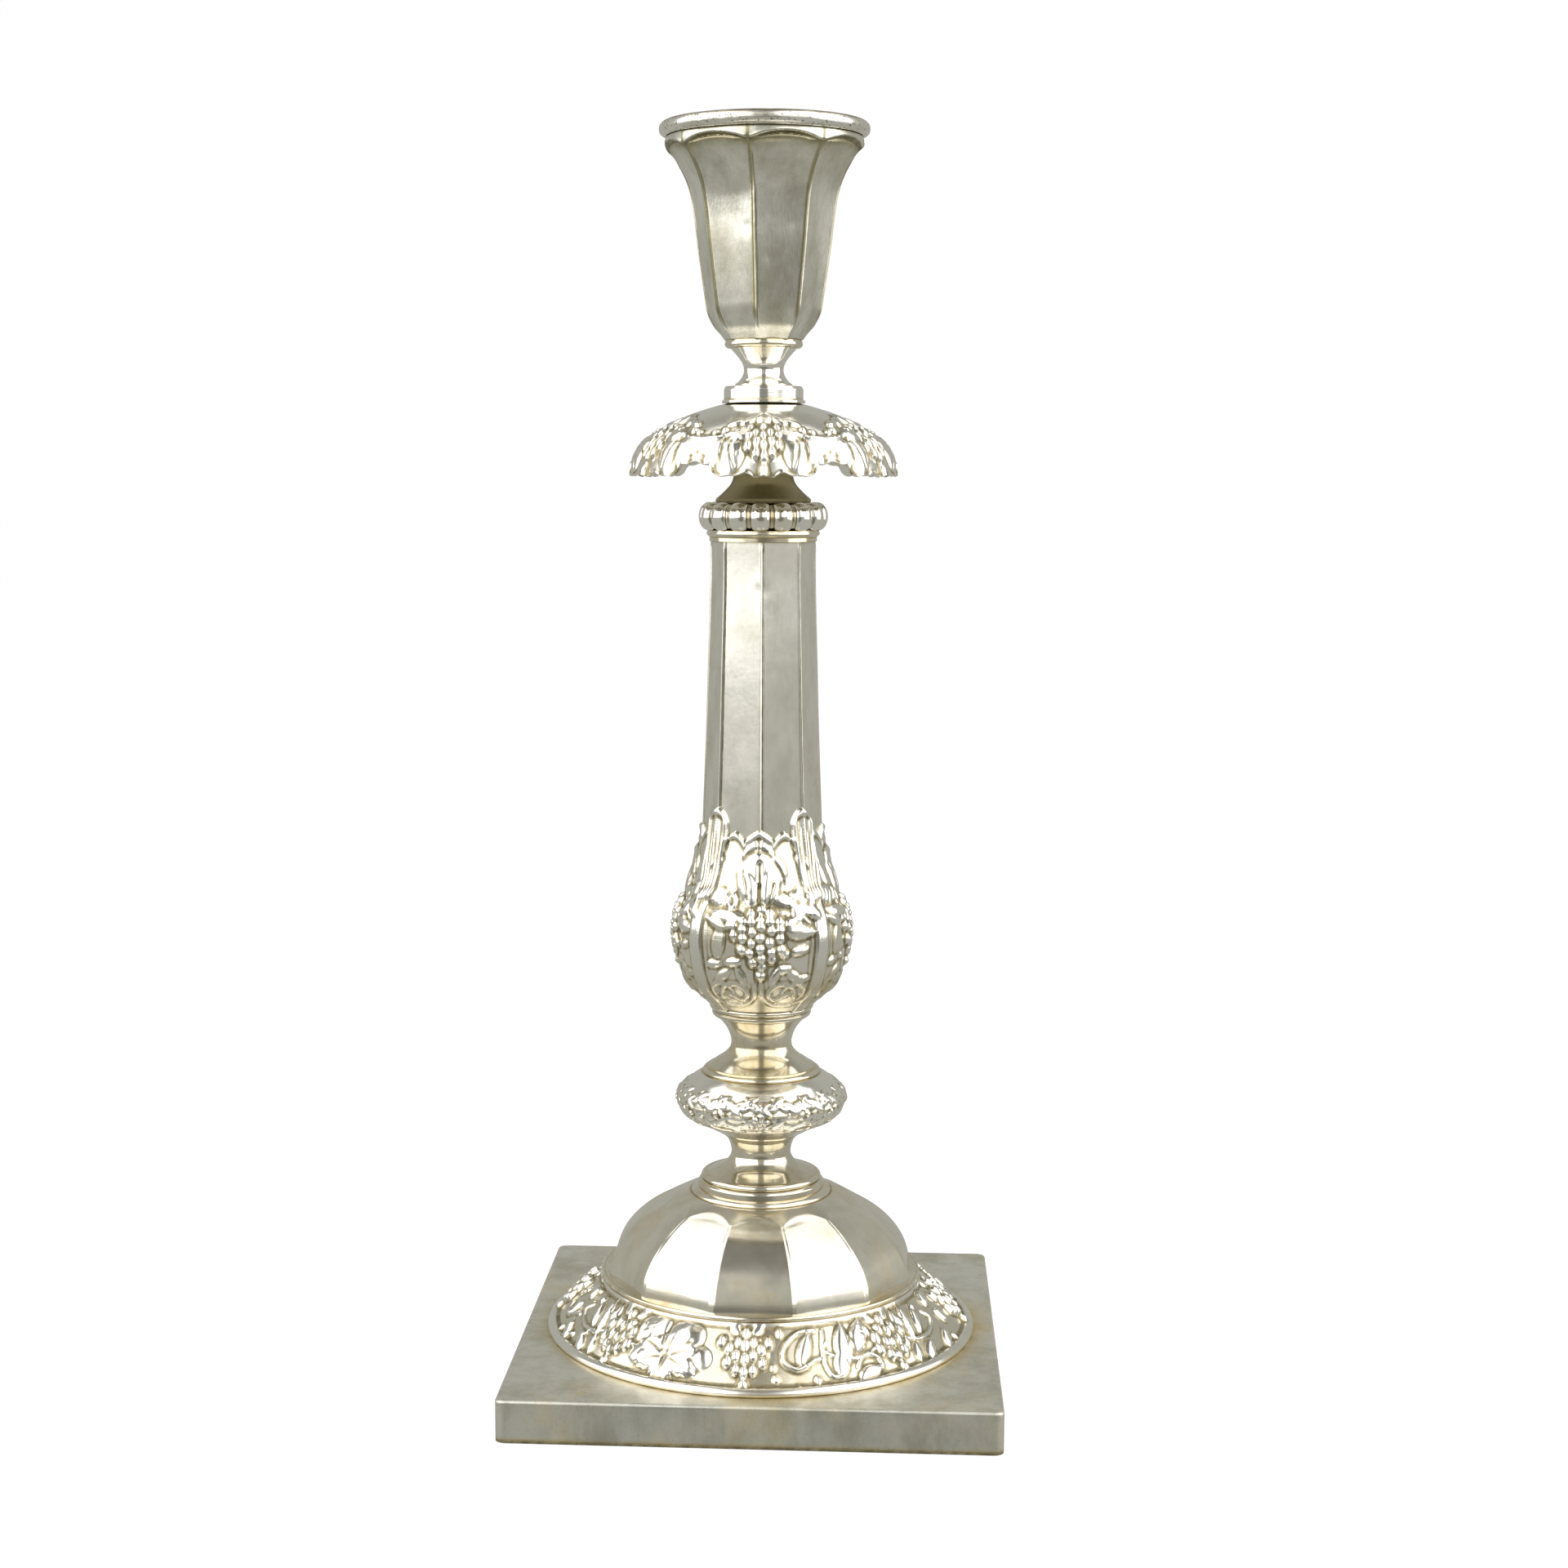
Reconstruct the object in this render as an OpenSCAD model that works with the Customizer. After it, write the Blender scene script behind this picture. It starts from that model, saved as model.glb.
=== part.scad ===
// Silver-plated candlestick: a square plinth, a gored dome, a knopped stem,
// an eight-sided column and a tulip socket with a drip pan and a lift-out nozzle.
// Millimetres, +Z up. The origin is the middle of the resting plane of the plinth,
// the front of the object faces -Y.

/* [Plinth and base] */
// Side of the square plinth
plinth_w = 125; // [120:1:140]
// Height of the plinth
plinth_h = 11; // [9:0.5:14]
// Radius of the frieze where it meets the plinth
frieze_foot_r = 57; // [56:0.5:58]
// Radius of the frieze where it meets the dome
frieze_top_r = 42.4; // [42:0.1:43]
// Height of the frieze
frieze_h = 14.2; // [12:0.1:16]
// Radius of the foot of the dome, over the gore edges
dome_r = 41.1; // [40.5:0.1:41.4]
// Rise of the full elliptic dome above its foot
dome_rise = 25.3; // [25:0.1:26]
// Number of gores
dome_gores = 12; // [12:1:12]

/* [Stem] */
// Widest radius of the knop
knop_r = 22.6; // [22:0.1:24]
// Widest radius of the bulb at the foot of the column
bulb_r = 23.4; // [22.5:0.1:24]
// Corner radius of the eight-sided shaft at its foot
shaft_foot_r = 15.5; // [15.2:0.1:16]
// Corner radius of the eight-sided shaft at its top
shaft_top_r = 13.6; // [13.4:0.1:14]
// Sides of the shaft
shaft_sides = 8; // [8:1:8]
// Outer radius of the gadroon ring
gadroon_r = 16.7; // [16.2:0.1:17.2]
// Number of gadroons
gadroons = 16; // [12:1:20]

/* [Pan and socket] */
// Radius of the drip pan over its lobes
pan_r = 35.6; // [35:0.1:37]
// Number of lobes of the drip pan
pan_lobes = 6; // [6:1:6]
// Widest radius of the nozzle's lip
lip_r = 26.8; // [26.2:0.1:27.4]
// Turn of the cup's edges about the axis, from the front
cup_turn = -6.7; // [-22:0.1:22]
// Diameter of the candle that the nozzle takes
candle_d = 22; // [20:0.5:22.5]

/* [Sheet and fasteners] */
// Thickness of the stamped sheet
sheet = 0.8; // [0.7:0.05:1]
// Radius of the socket's threaded stud
stud_r = 4; // [3.5:0.1:4]
// Radial clearance between the stud and the bores that it turns in
stud_gap = 0.06; // [0.03:0.01:0.1]
// Radius of the tie rod
rod_r = 2.5; // [2:0.1:2.5]
// Gap between faces of pieces that move apart
face_gap = 0.1; // [0.05:0.01:0.15]

/* [Hidden] */

$fn = 96;
SPLINE_STEPS = 4;      // straight runs between two outline points
OVERSHOOT = 1;         // how far a cut runs past the face that it opens

SILVER = "#c9c5b6";
SILVER_WARM = "#b9b08f";
SILVER_DARK = "#8d8463";
STEEL = "#7f8386";
BRASS = "#b59a54";

// Heights of the pieces that stand on one another
crown_h = 23.7;
collar_h = 3.7;
lower_spool_h = 11.4;
knop_lower_h = 9;
knop_upper_h = 6.8;
knop_ring_h = 1.8;
upper_spool_h = 13.4;
foot_band_h = 3.4;
bulb_h = 50.6;
shaft_h = 70.8;
top_band_h = 2.8;
gadroon_h = 7;
cap_h = 24.4;
flange_h = 4.2;
neck_h = 9.7;
cup_ring_h = 2;
cup_h = 47.6;
cup_band_h = 3;
lip_h = 3.7;

// Levels of the joints, from the resting plane upward
frieze_z = plinth_h;
dome_z = frieze_z + frieze_h;
crown_z = dome_z + crown_h;
spool_z = crown_z + collar_h;
knop_z = spool_z + lower_spool_h;
knop_mid_z = knop_z + knop_lower_h;
knop_ring_z = knop_mid_z + knop_upper_h;
upper_spool_z = knop_ring_z + knop_ring_h;
foot_band_z = upper_spool_z + upper_spool_h;
column_z = foot_band_z + foot_band_h;
shaft_z = column_z + bulb_h;
shaft_top_z = shaft_z + shaft_h;
gadroon_z = shaft_top_z + top_band_h;
cap_z = gadroon_z + gadroon_h;
cap_top_z = cap_z + cap_h;
pan_z = cap_top_z + face_gap;
pan_top_z = pan_z + sheet;
flange_z = pan_top_z + face_gap;
neck_z = flange_z + flange_h;
cup_ring_z = neck_z + neck_h;
cup_z = cup_ring_z + cup_ring_h;
cup_band_z = cup_z + cup_h;
cup_top_z = cup_band_z + cup_band_h;
lip_z = cup_top_z + face_gap;

// Fixed details of the silver
plinth_corner_r = 2;
hem_w = 3;
plinth_hole_r = 50;
rod_hole_r = rod_r + 0.5;
solder_lap = 2;                // overlap of two stamped pieces at a ledge
web_inset = 0.3;               // from an outline to the rim of the flat web that closes it
gadroon_hole_r = 9;
cup_mouth_r = 23.5;
tube_r = candle_d / 2;
tube_wall = 0.9;
funnel_depth = 6.2;            // from the cup's rim down to the top of the tube
tube_depth = 27.6;             // from the cup's rim down to the bottom of the tube
tube_z = lip_z - tube_depth;
tube_top_z = lip_z - funnel_depth;

// The bush in the cap, the socket's stud above it and the tie rod below it
bush_r = 5.5;
bush_flange_r = 7;
bush_flange_h = 2;
bush_recess = 3;               // from the top of the cap down to the bush
bush_web = 2;                  // metal between the rod's hole and the stud's
bush_lift = 0.4;
rod_grip = 4.5;                // length of rod held in the bush
rod_tail = 8.8;                // from the top of the dome down to the end of the rod
stud_reach = 15;               // length of stud held in the cap
stud_seat = 3.6;               // length of stud held in the neck
pan_nut_r = 6.4;
pan_nut_h = 2;
washer_r = 13.5;
washer_h = 1.5;
nut_r = 4.62;
nut_h = 4;
bush_z = cap_z + bush_lift;
rod_top_z = bush_z + rod_grip;
rod_end_z = crown_z - rod_tail;
stud_hole_z = rod_top_z + bush_web;
stud_z = cap_top_z - stud_reach;
stud_top_z = neck_z + stud_seat;
nut_z = crown_z - sheet - washer_h - nut_h;

// A point of a Catmull-Rom curve through b and c, where t runs from 0 to 1
function curve_point(a, b, c, d, t) =
    0.5 * (2 * b + (c - a) * t + (2 * a - 5 * b + 4 * c - d) * t * t
           + (3 * b - a - 3 * c + d) * t * t * t);

// The smooth curve through the outline points
function smooth(points, steps = SPLINE_STEPS) =
    let (last = len(points) - 1)
    concat([for (i = [0 : last - 1]) for (k = [0 : steps - 1])
                curve_point(points[max(i - 1, 0)], points[i], points[i + 1],
                            points[min(i + 2, last)], k / steps)],
           [points[last]]);

// The unit vector to the right of the curve at point i, which is the outside of an upward outline
function outward(line, i) =
    let (a = line[max(i - 1, 0)], b = line[min(i + 1, len(line) - 1)], d = b - a)
    [d[1], -d[0]] / norm(d);

// The curve moved inward by a sheet's thickness, with both ends kept on the level of the outside
function inside(line, t) =
    let (last = len(line) - 1)
    [for (i = [last : -1 : 0])
        let (n = outward(line, i))
        (i == 0 || i == last) ? line[i] - [t / max(abs(n[0]), 0.5), 0] : line[i] - n * t];

function raise(points, z) = [for (p = points) [p[0], p[1] + z]];

// A closed sheet-metal section whose outside is the given line
function sheet_section(line, t = sheet) = concat(line, inside(line, t));

// A solid section between the given line and the axis hole
function bored_section(line, hole_r) =
    concat(line, [[hole_r, line[len(line) - 1][1]], [hole_r, line[0][1]]]);

module turned(section) {
    rotate_extrude()
        polygon(section);
}

module ring(r_out, r_in, h, z) {
    translate([0, 0, z])
        difference() {
            cylinder(r = r_out, h = h);
            translate([0, 0, -OVERSHOOT])
                cylinder(r = r_in, h = h + 2 * OVERSHOOT);
        }
}

module rounded_square(w, r) {
    square([w, w - 2 * r], center = true);
    square([w - 2 * r, w], center = true);
    for (x = [-1, 1], y = [-1, 1])
        translate([x * (w / 2 - r), y * (w / 2 - r)])
            circle(r = r);
}

// ---- Base ----

module plinth() {
    inner_w = plinth_w - 2 * sheet;
    color(SILVER_WARM)
        difference() {
            linear_extrude(plinth_h)
                rounded_square(plinth_w, plinth_corner_r);
            translate([0, 0, sheet])
                linear_extrude(plinth_h - 2 * sheet)
                    rounded_square(inner_w, plinth_corner_r - sheet);
            translate([0, 0, -OVERSHOOT])
                linear_extrude(sheet + 2 * OVERSHOOT)
                    rounded_square(inner_w - 2 * hem_w, plinth_corner_r - sheet);
            translate([0, 0, plinth_h - sheet - OVERSHOOT])
                cylinder(r = plinth_hole_r, h = sheet + 2 * OVERSHOOT);
        }
}

// Outline of the frieze: a smooth border bead, then the sloping relief band
frieze_line = concat(
    smooth([[frieze_foot_r - 0.4, 0], [frieze_foot_r, 0.8], [frieze_foot_r - 0.5, 1.7],
            [frieze_foot_r - 1.8, 2.2]]),
    smooth([[frieze_foot_r - 2.4, 2.6], [frieze_foot_r - 5.5, 6.2],
            [frieze_foot_r - 9.5, 10.2], [frieze_top_r + 1, frieze_h - 0.9],
            [frieze_top_r, frieze_h]]));

module vine_frieze() {
    color(SILVER) {
        turned(raise(sheet_section(frieze_line), frieze_z));
        ring(frieze_top_r - sheet / 2, dome_r - 2 * solder_lap, sheet, dome_z - sheet);
    }
}

module dome_seam_ring() {
    wire = (frieze_top_r - dome_r) / 2;
    color(SILVER_WARM)
        turned([for (a = [-90 : 15 : 90])
                    [dome_r + wire + wire * cos(a), dome_z + wire + wire * sin(a)],
                [dome_r, dome_z + 2 * wire],
                [dome_r, dome_z]]);
}

// Outline of the dome: an ellipse from its foot to the crown
DOME_STEPS = 14;
crown_r = 18.6;
crown_well_r = 15.3;           // hollow under the plate of the crown
crown_angle = acos(crown_r / dome_r);
dome_line = [for (k = [0 : DOME_STEPS])
    let (a = crown_angle * k / DOME_STEPS)
    [dome_r * cos(a), dome_rise * sin(a)]];

// Outline of the crown's rounded step, down from its top
crown_step = 3.2;
crown_line = [[crown_r - 2.5, -crown_step], [crown_r - 0.6, -2.6], [crown_r, -1.3],
              [crown_r - 0.5, -0.5], [crown_r - 2, 0], [0, 0], [0, -crown_step]];

module dome() {
    color(SILVER) {
        rotate([0, 0, 180 / dome_gores])
            rotate_extrude($fn = dome_gores)
                polygon(raise(sheet_section(dome_line), dome_z));
        difference() {
            turned(raise(crown_line, crown_z));
            translate([0, 0, crown_z - sheet - crown_step])
                cylinder(r = crown_well_r, h = crown_step);
            translate([0, 0, crown_z - sheet - OVERSHOOT])
                cylinder(r = rod_hole_r, h = sheet + 2 * OVERSHOOT);
        }
    }
}

module dome_collar() {
    line = concat([[16.6, 0], [16.6, 1.5], [16.1, 2]],
                  smooth([[15.5, 2.2], [15.9, 2.8], [15.5, 3.5], [14.8, collar_h]]));
    color(SILVER_WARM)
        turned(raise(bored_section(line, rod_hole_r), crown_z));
}

// ---- Stem ----

module lower_spool() {
    line = smooth([[14.3, 0], [12.2, 0.9], [10.1, 2], [8.6, 3.5], [7.9, 5.2], [8.1, 7.2],
                   [8.9, 9.2], [10.2, 10.6], [10.8, lower_spool_h]]);
    color(SILVER_WARM)
        turned(raise(bored_section(line, rod_hole_r), spool_z));
}

knop_foot_r = 11.6;
knop_top_r = 15.8;
knop_low_line = smooth([[knop_foot_r, 0], [14.3, 1.5], [17.7, 2.9], [20.5, 4.8], [22, 6.9],
                        [knop_r, knop_lower_h]]);
knop_high_line = smooth([[knop_r, 0], [21.9, 2.3], [19.9, 4.3], [17.4, 5.9],
                         [knop_top_r, knop_upper_h]]);

module knop_lower_half() {
    color(SILVER) {
        turned(raise(sheet_section(knop_low_line), knop_z));
        ring(knop_foot_r - web_inset, rod_hole_r, sheet, knop_z);
    }
}

module knop_upper_half() {
    color(SILVER) {
        turned(raise(sheet_section(knop_high_line), knop_mid_z));
        ring(knop_top_r - web_inset, rod_hole_r, sheet, knop_ring_z - sheet);
    }
}

module knop_ring() {
    line = smooth([[15.2, 0], [15.6, 0.5], [15.2, 1.1], [14.6, 1.3], [14.3, knop_ring_h]]);
    color(SILVER_WARM)
        turned(raise(bored_section(line, rod_hole_r), knop_ring_z));
}

module upper_spool() {
    line = smooth([[14, 0], [12.1, 1.4], [9.9, 2.9], [8.4, 4.6], [8, 6.4], [8.4, 8.4],
                   [9.4, 10.5], [10.9, 12.4], [11.9, upper_spool_h]]);
    color(SILVER_WARM)
        turned(raise(bored_section(line, rod_hole_r), upper_spool_z));
}

module column_foot_band() {
    line = concat(smooth([[12.3, 0], [12.9, 0.5], [13.1, 1.2]]),
                  [[12.8, 1.5], [12.8, 1.8]],
                  smooth([[13.3, 2], [13.7, 2.7], [13.4, foot_band_h]]));
    color(SILVER_WARM)
        turned(raise(bored_section(line, rod_hole_r), foot_band_z));
}

bulb_foot_r = 13.9;
bulb_line = smooth([[bulb_foot_r, 0], [16.8, 3], [19.9, 6], [21.9, 10], [22.9, 14.5], [bulb_r, 19.6],
                    [22.5, 25.4], [20.1, 30], [17.6, 35.8], [16.3, 43],
                    [shaft_foot_r - 0.1, bulb_h]]);
shaft_line = smooth([[shaft_foot_r, 0], [14.7, 0.3 * shaft_h], [14.2, 0.55 * shaft_h],
                     [shaft_top_r, 0.85 * shaft_h], [shaft_top_r, shaft_h]], 1);

module column() {
    lap_ring_r = 12;               // hole of the ring that joins the bulb to the shaft
    lap_ring_h = 3;
    color(SILVER) {
        turned(raise(sheet_section(bulb_line), column_z));
        rotate_extrude($fn = shaft_sides)
            polygon(raise(sheet_section(shaft_line), shaft_z));
        ring(shaft_foot_r - web_inset, lap_ring_r, lap_ring_h, shaft_z - solder_lap);
        ring(bulb_foot_r - web_inset, rod_hole_r, sheet, column_z);
    }
}

module column_top_band() {
    line = concat([[13.9, 0], [13.9, 0.9]],
                  smooth([[13.9, 1.1], [14.6, 1.8], [14.4, top_band_h]]));
    color(SILVER_WARM)
        turned(raise(bored_section(line, gadroon_hole_r), shaft_top_z));
}

module gadroon_ring() {
    lobe_r = 3.3;
    lobe_at = gadroon_r - lobe_r;
    core_r = lobe_at + 2;
    mid_z = gadroon_z + gadroon_h / 2;
    color(SILVER) {
        ring(core_r, gadroon_hole_r, gadroon_h, gadroon_z);
        for (k = [0 : gadroons - 1])
            rotate([0, 0, (k + 0.5) * 360 / gadroons])
                translate([lobe_at, 0, mid_z])
                    sphere(r = lobe_r);
    }
}

module column_cap() {
    line = concat([[12.1, 0], [12.4, 0.5], [12.1, 1.2]],
                  smooth([[11.6, 1.5], [9.6, 3.4], [8.2, 5.2], [7.5, 8], [7.4, 12], [7.9, 16.5],
                          [8.8, 20.5], [9.7, 23]]),
                  [[9.9, 23.5], [9.9, cap_h]]);
    color(SILVER_DARK)
        difference() {
            turned(raise(bored_section(line, bush_r), cap_z));
            translate([0, 0, cap_top_z - bush_recess - bush_flange_h])
                cylinder(r = bush_flange_r, h = bush_recess + bush_flange_h + OVERSHOOT);
        }
}

// ---- Clamping parts inside the stem ----

module coupling_bush() {
    bush_top_z = cap_top_z - bush_recess;
    color(BRASS)
        difference() {
            union() {
                translate([0, 0, bush_z])
                    cylinder(r = bush_r, h = bush_top_z - bush_z);
                translate([0, 0, bush_top_z - bush_flange_h])
                    cylinder(r = bush_flange_r, h = bush_flange_h);
            }
            translate([0, 0, stud_hole_z])
                cylinder(r = stud_r + stud_gap, h = bush_top_z - stud_hole_z + OVERSHOOT);
            translate([0, 0, bush_z - OVERSHOOT])
                cylinder(r = rod_r, h = rod_top_z - bush_z + OVERSHOOT);
        }
}

module tie_rod() {
    color(STEEL)
        translate([0, 0, rod_end_z])
            cylinder(r = rod_r, h = rod_top_z - rod_end_z);
}

module rod_washer() {
    color(STEEL)
        ring(washer_r, rod_r, washer_h, nut_z + nut_h);
}

module rod_nut() {
    color(STEEL)
        translate([0, 0, nut_z])
            difference() {
                cylinder(r = nut_r, h = nut_h, $fn = 6);
                translate([0, 0, -OVERSHOOT])
                    cylinder(r = rod_r, h = nut_h + 2 * OVERSHOOT);
            }
}

// ---- Drip pan ----

pan_line = smooth([[pan_r, -18.6], [34.6, -15.2], [33.2, -12], [31.3, -9.8], [28.5, -7.8],
                   [24, -5.2], [18.5, -2.6], [13, -0.9], [10.6, -0.3]]);

module drip_pan() {
    hub_r = 10.9;
    notch_r = 6;
    notch_depth = 3.2;
    notch_turn = 22;               // from the middle of a lobe to the notch beside it
    notch_run = 10;                // length of a notch, inward from the edge
    edge_z = pan_top_z + pan_line[0][1];
    color(SILVER)
        difference() {
            union() {
                turned(raise(sheet_section(pan_line), pan_top_z));
                ring(hub_r, stud_r + stud_gap, sheet, pan_z);
            }
            for (k = [0 : pan_lobes - 1], side = [-1, 1])
                rotate([0, 0, k * 360 / pan_lobes + side * notch_turn - 90])
                    translate([pan_r - notch_run, 0, edge_z + notch_depth - notch_r])
                        rotate([0, 90, 0])
                            cylinder(r = notch_r, h = 2 * notch_run);
        }
}

// ---- Socket ----

module socket_flange() {
    line = [[10.7, 0], [10.7, 0.6], [10.2, 0.8], [10.2, 3.7], [9.8, flange_h]];
    color(SILVER)
        turned(raise(bored_section(line, stud_r), flange_z));
}

module socket_neck() {
    line = smooth([[7.1, 0], [7.4, 0.5], [6.3, 1.4], [5.3, 3], [5.1, 4.6], [5.8, 6.4],
                   [7.2, 8.2], [8.6, neck_h]]);
    color(SILVER)
        difference() {
            turned(raise(bored_section(line, 0), neck_z));
            translate([0, 0, neck_z - OVERSHOOT])
                cylinder(r = stud_r, h = stud_top_z - neck_z + OVERSHOOT);
        }
}

module cup_base_ring() {
    line = smooth([[9.3, 0], [9.9, 0.5], [10, 1.2], [9.7, cup_ring_h]]);
    color(SILVER_WARM)
        turned(raise(bored_section(line, 0), cup_ring_z));
}

// Outline of the cup over its edges, from its bottom plate to the round band
cup_foot_r = 10.2;
cup_sides = 8;
cup_line = smooth([[cup_foot_r, 0], [11.4, 1.6], [13, 3.6], [14.6, 6.8], [15.3, 10.5],
                   [16.2, 16.5], [17.2, 23.5], [18.1, 31], [19.2, 37.2], [20.9, 41.7],
                   [23.2, 45.6], [25.1, cup_h]]);

// Outline of the solid band that stiffens the mouth of the cup
cup_band_line = [[22.2, -1.2], [24.2, -0.4], [25.2, 0.6], [25.2, 2.4], [24.9, cup_band_h],
                 [cup_mouth_r, cup_band_h], [cup_mouth_r, 0]];

module socket_cup() {
    color(SILVER) {
        rotate([0, 0, cup_turn])
            rotate_extrude($fn = cup_sides)
                polygon(raise(sheet_section(cup_line), cup_z));
        rotate([0, 0, cup_turn])
            translate([0, 0, cup_z])
                cylinder(r = cup_foot_r - web_inset, h = sheet, $fn = cup_sides);
        turned(raise(cup_band_line, cup_band_z));
    }
}

module socket_stud() {
    color(STEEL)
        translate([0, 0, stud_z])
            cylinder(r = stud_r, h = stud_top_z - stud_z);
}

module pan_nut() {
    color(BRASS)
        ring(pan_nut_r, stud_r, pan_nut_h, pan_z - face_gap - pan_nut_h);
}

// ---- Nozzle ----

module nozzle_flange() {
    skirt_r = cup_mouth_r - face_gap;
    skirt_in_r = 22.4;
    skirt_depth = 2.3;
    lip = concat([[skirt_r, 0], [lip_r - 1.5, 0]],
                 smooth([[lip_r - 1.2, 0.3], [lip_r - 0.2, 1], [lip_r, 2], [lip_r - 0.2, 2.9],
                         [lip_r - 1.2, 3.6], [lip_r - 2.2, lip_h]]));
    funnel = smooth([[lip_r - 3.4, 3.3], [20.5, 0.9], [16, -1.3], [12.8, -3.6],
                     [tube_r, -funnel_depth]]);
    funnel_back = smooth([[tube_r + tube_wall, -funnel_depth], [13.6, -3.9], [16.5, -2.1],
                          [20.2, -0.3], [21.6, 0.4]]);
    skirt = [[skirt_in_r, 0.4], [skirt_in_r, -skirt_depth], [skirt_r, -skirt_depth]];
    color(SILVER)
        turned(raise(concat(lip, funnel, funnel_back, skirt), lip_z));
}

module nozzle_tube() {
    color(SILVER_WARM)
        ring(tube_r + tube_wall, tube_r, tube_top_z - tube_z, tube_z);
}

module nozzle_bottom() {
    color(SILVER_WARM)
        translate([0, 0, tube_z - sheet])
            cylinder(r = tube_r + tube_wall, h = sheet);
}

plinth();
vine_frieze();
dome_seam_ring();
dome();
dome_collar();
lower_spool();
knop_lower_half();
knop_upper_half();
knop_ring();
upper_spool();
column_foot_band();
column();
column_top_band();
gadroon_ring();
column_cap();
coupling_bush();
tie_rod();
rod_washer();
rod_nut();
drip_pan();
socket_flange();
socket_neck();
cup_base_ring();
socket_cup();
socket_stud();
pan_nut();
nozzle_flange();
nozzle_tube();
nozzle_bottom();
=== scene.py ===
"""Looks of the silver-plated candlestick: every visible piece is a dense swept shell with its
stamped relief as real geometry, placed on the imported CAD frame."""
import math

import bpy
import numpy as np
from mathutils import Matrix, Vector


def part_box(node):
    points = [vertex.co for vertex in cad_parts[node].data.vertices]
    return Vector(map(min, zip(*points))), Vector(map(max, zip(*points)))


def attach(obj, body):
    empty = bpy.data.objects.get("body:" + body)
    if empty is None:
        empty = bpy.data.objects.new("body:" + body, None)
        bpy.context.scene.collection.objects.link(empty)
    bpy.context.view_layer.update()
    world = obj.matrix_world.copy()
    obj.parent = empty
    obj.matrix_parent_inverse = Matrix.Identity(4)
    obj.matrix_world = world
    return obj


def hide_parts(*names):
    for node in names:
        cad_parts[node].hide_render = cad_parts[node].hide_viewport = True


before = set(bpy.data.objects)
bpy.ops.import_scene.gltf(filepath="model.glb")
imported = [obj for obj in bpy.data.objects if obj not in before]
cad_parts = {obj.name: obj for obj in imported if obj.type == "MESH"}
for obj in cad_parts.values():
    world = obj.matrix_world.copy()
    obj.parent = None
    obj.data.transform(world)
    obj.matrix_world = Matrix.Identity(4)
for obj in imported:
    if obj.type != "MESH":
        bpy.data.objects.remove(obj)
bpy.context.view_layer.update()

MM = 0.001
FRONT = -90.0                 # direction of the plinth's front, degrees from +X
SHEET = 0.8                   # sheet thickness, mm
CORNER_SOFT = 0.9             # degrees over which a panel's corners are rounded
SCENE = bpy.context.scene


# ---- shader nodes

def wire(tree, socket, value):
    """Links a socket to another node's output, or sets its value."""
    if isinstance(value, bpy.types.NodeSocket):
        tree.links.new(value, socket)
    else:
        socket.default_value = value


def node(tree, kind, output=0, settings=(), **inputs):
    """Adds a shader node with its inputs wired by name, and returns one of its outputs."""
    made = tree.nodes.new("ShaderNode" + kind)
    for key, value in dict(settings).items():
        setattr(made, key, value)
    for key, value in inputs.items():
        wire(tree, made.inputs[key.replace("_", " ").title()], value)
    return made.outputs[output]


def calc(tree, operation, *values, clamp=False):
    """The result of a Math node."""
    made = tree.nodes.new("ShaderNodeMath")
    made.operation = operation
    made.use_clamp = clamp
    for socket, value in zip(made.inputs, values):
        wire(tree, socket, value)
    return made.outputs[0]


def blend(tree, factor, first, second):
    """A colour between two others."""
    made = tree.nodes.new("ShaderNodeMix")
    made.data_type = "RGBA"
    colours = [socket for socket in made.inputs if socket.type == "RGBA"]
    wire(tree, made.inputs[0], factor)
    wire(tree, colours[0], first)
    wire(tree, colours[1], second)
    return [socket for socket in made.outputs if socket.type == "RGBA"][0]


def span(tree, value, low_end, high_end, to_low=0.0, to_high=1.0):
    """Maps a range of a value smoothly to another range."""
    made = tree.nodes.new("ShaderNodeMapRange")
    made.interpolation_type = "SMOOTHSTEP"
    for socket, number in zip(made.inputs, (value, low_end, high_end, to_low, to_high)):
        wire(tree, socket, number)
    return made.outputs[0]


def noise(tree, place, per_metre, detail=4.0, roughness=0.55, stretch=(1, 1, 1)):
    """Cloudy noise; stretch multiplies its frequency along x, y and z."""
    if stretch != (1, 1, 1):
        place = node(tree, "Mapping", vector=place, scale=stretch)
    return node(tree, "TexNoise", vector=place, scale=per_metre, detail=detail,
                roughness=roughness)


# ---- camera and light

CAMERA_AZIMUTH = 2.77         # degrees from the front towards +X
CAMERA_REACH = 645.5          # mm from the stem's axis, along the table
CAMERA_HEIGHT = 237.3         # mm above the table
CAMERA_PITCH = 7.14           # degrees down
CAMERA_YAW = -0.72            # degrees off the axis
CAMERA_ROLL = -0.11
CAMERA_LENS = 57.07           # mm on a 36 mm sensor
CAMERA_SHIFT = 0.0336


def around(azimuth, reach, height):
    """A point round the object: azimuth from the camera's direction towards the image's right."""
    turn = math.radians(FRONT + CAMERA_AZIMUTH + azimuth)
    return Vector((reach * math.cos(turn), reach * math.sin(turn), height)) * MM


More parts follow.
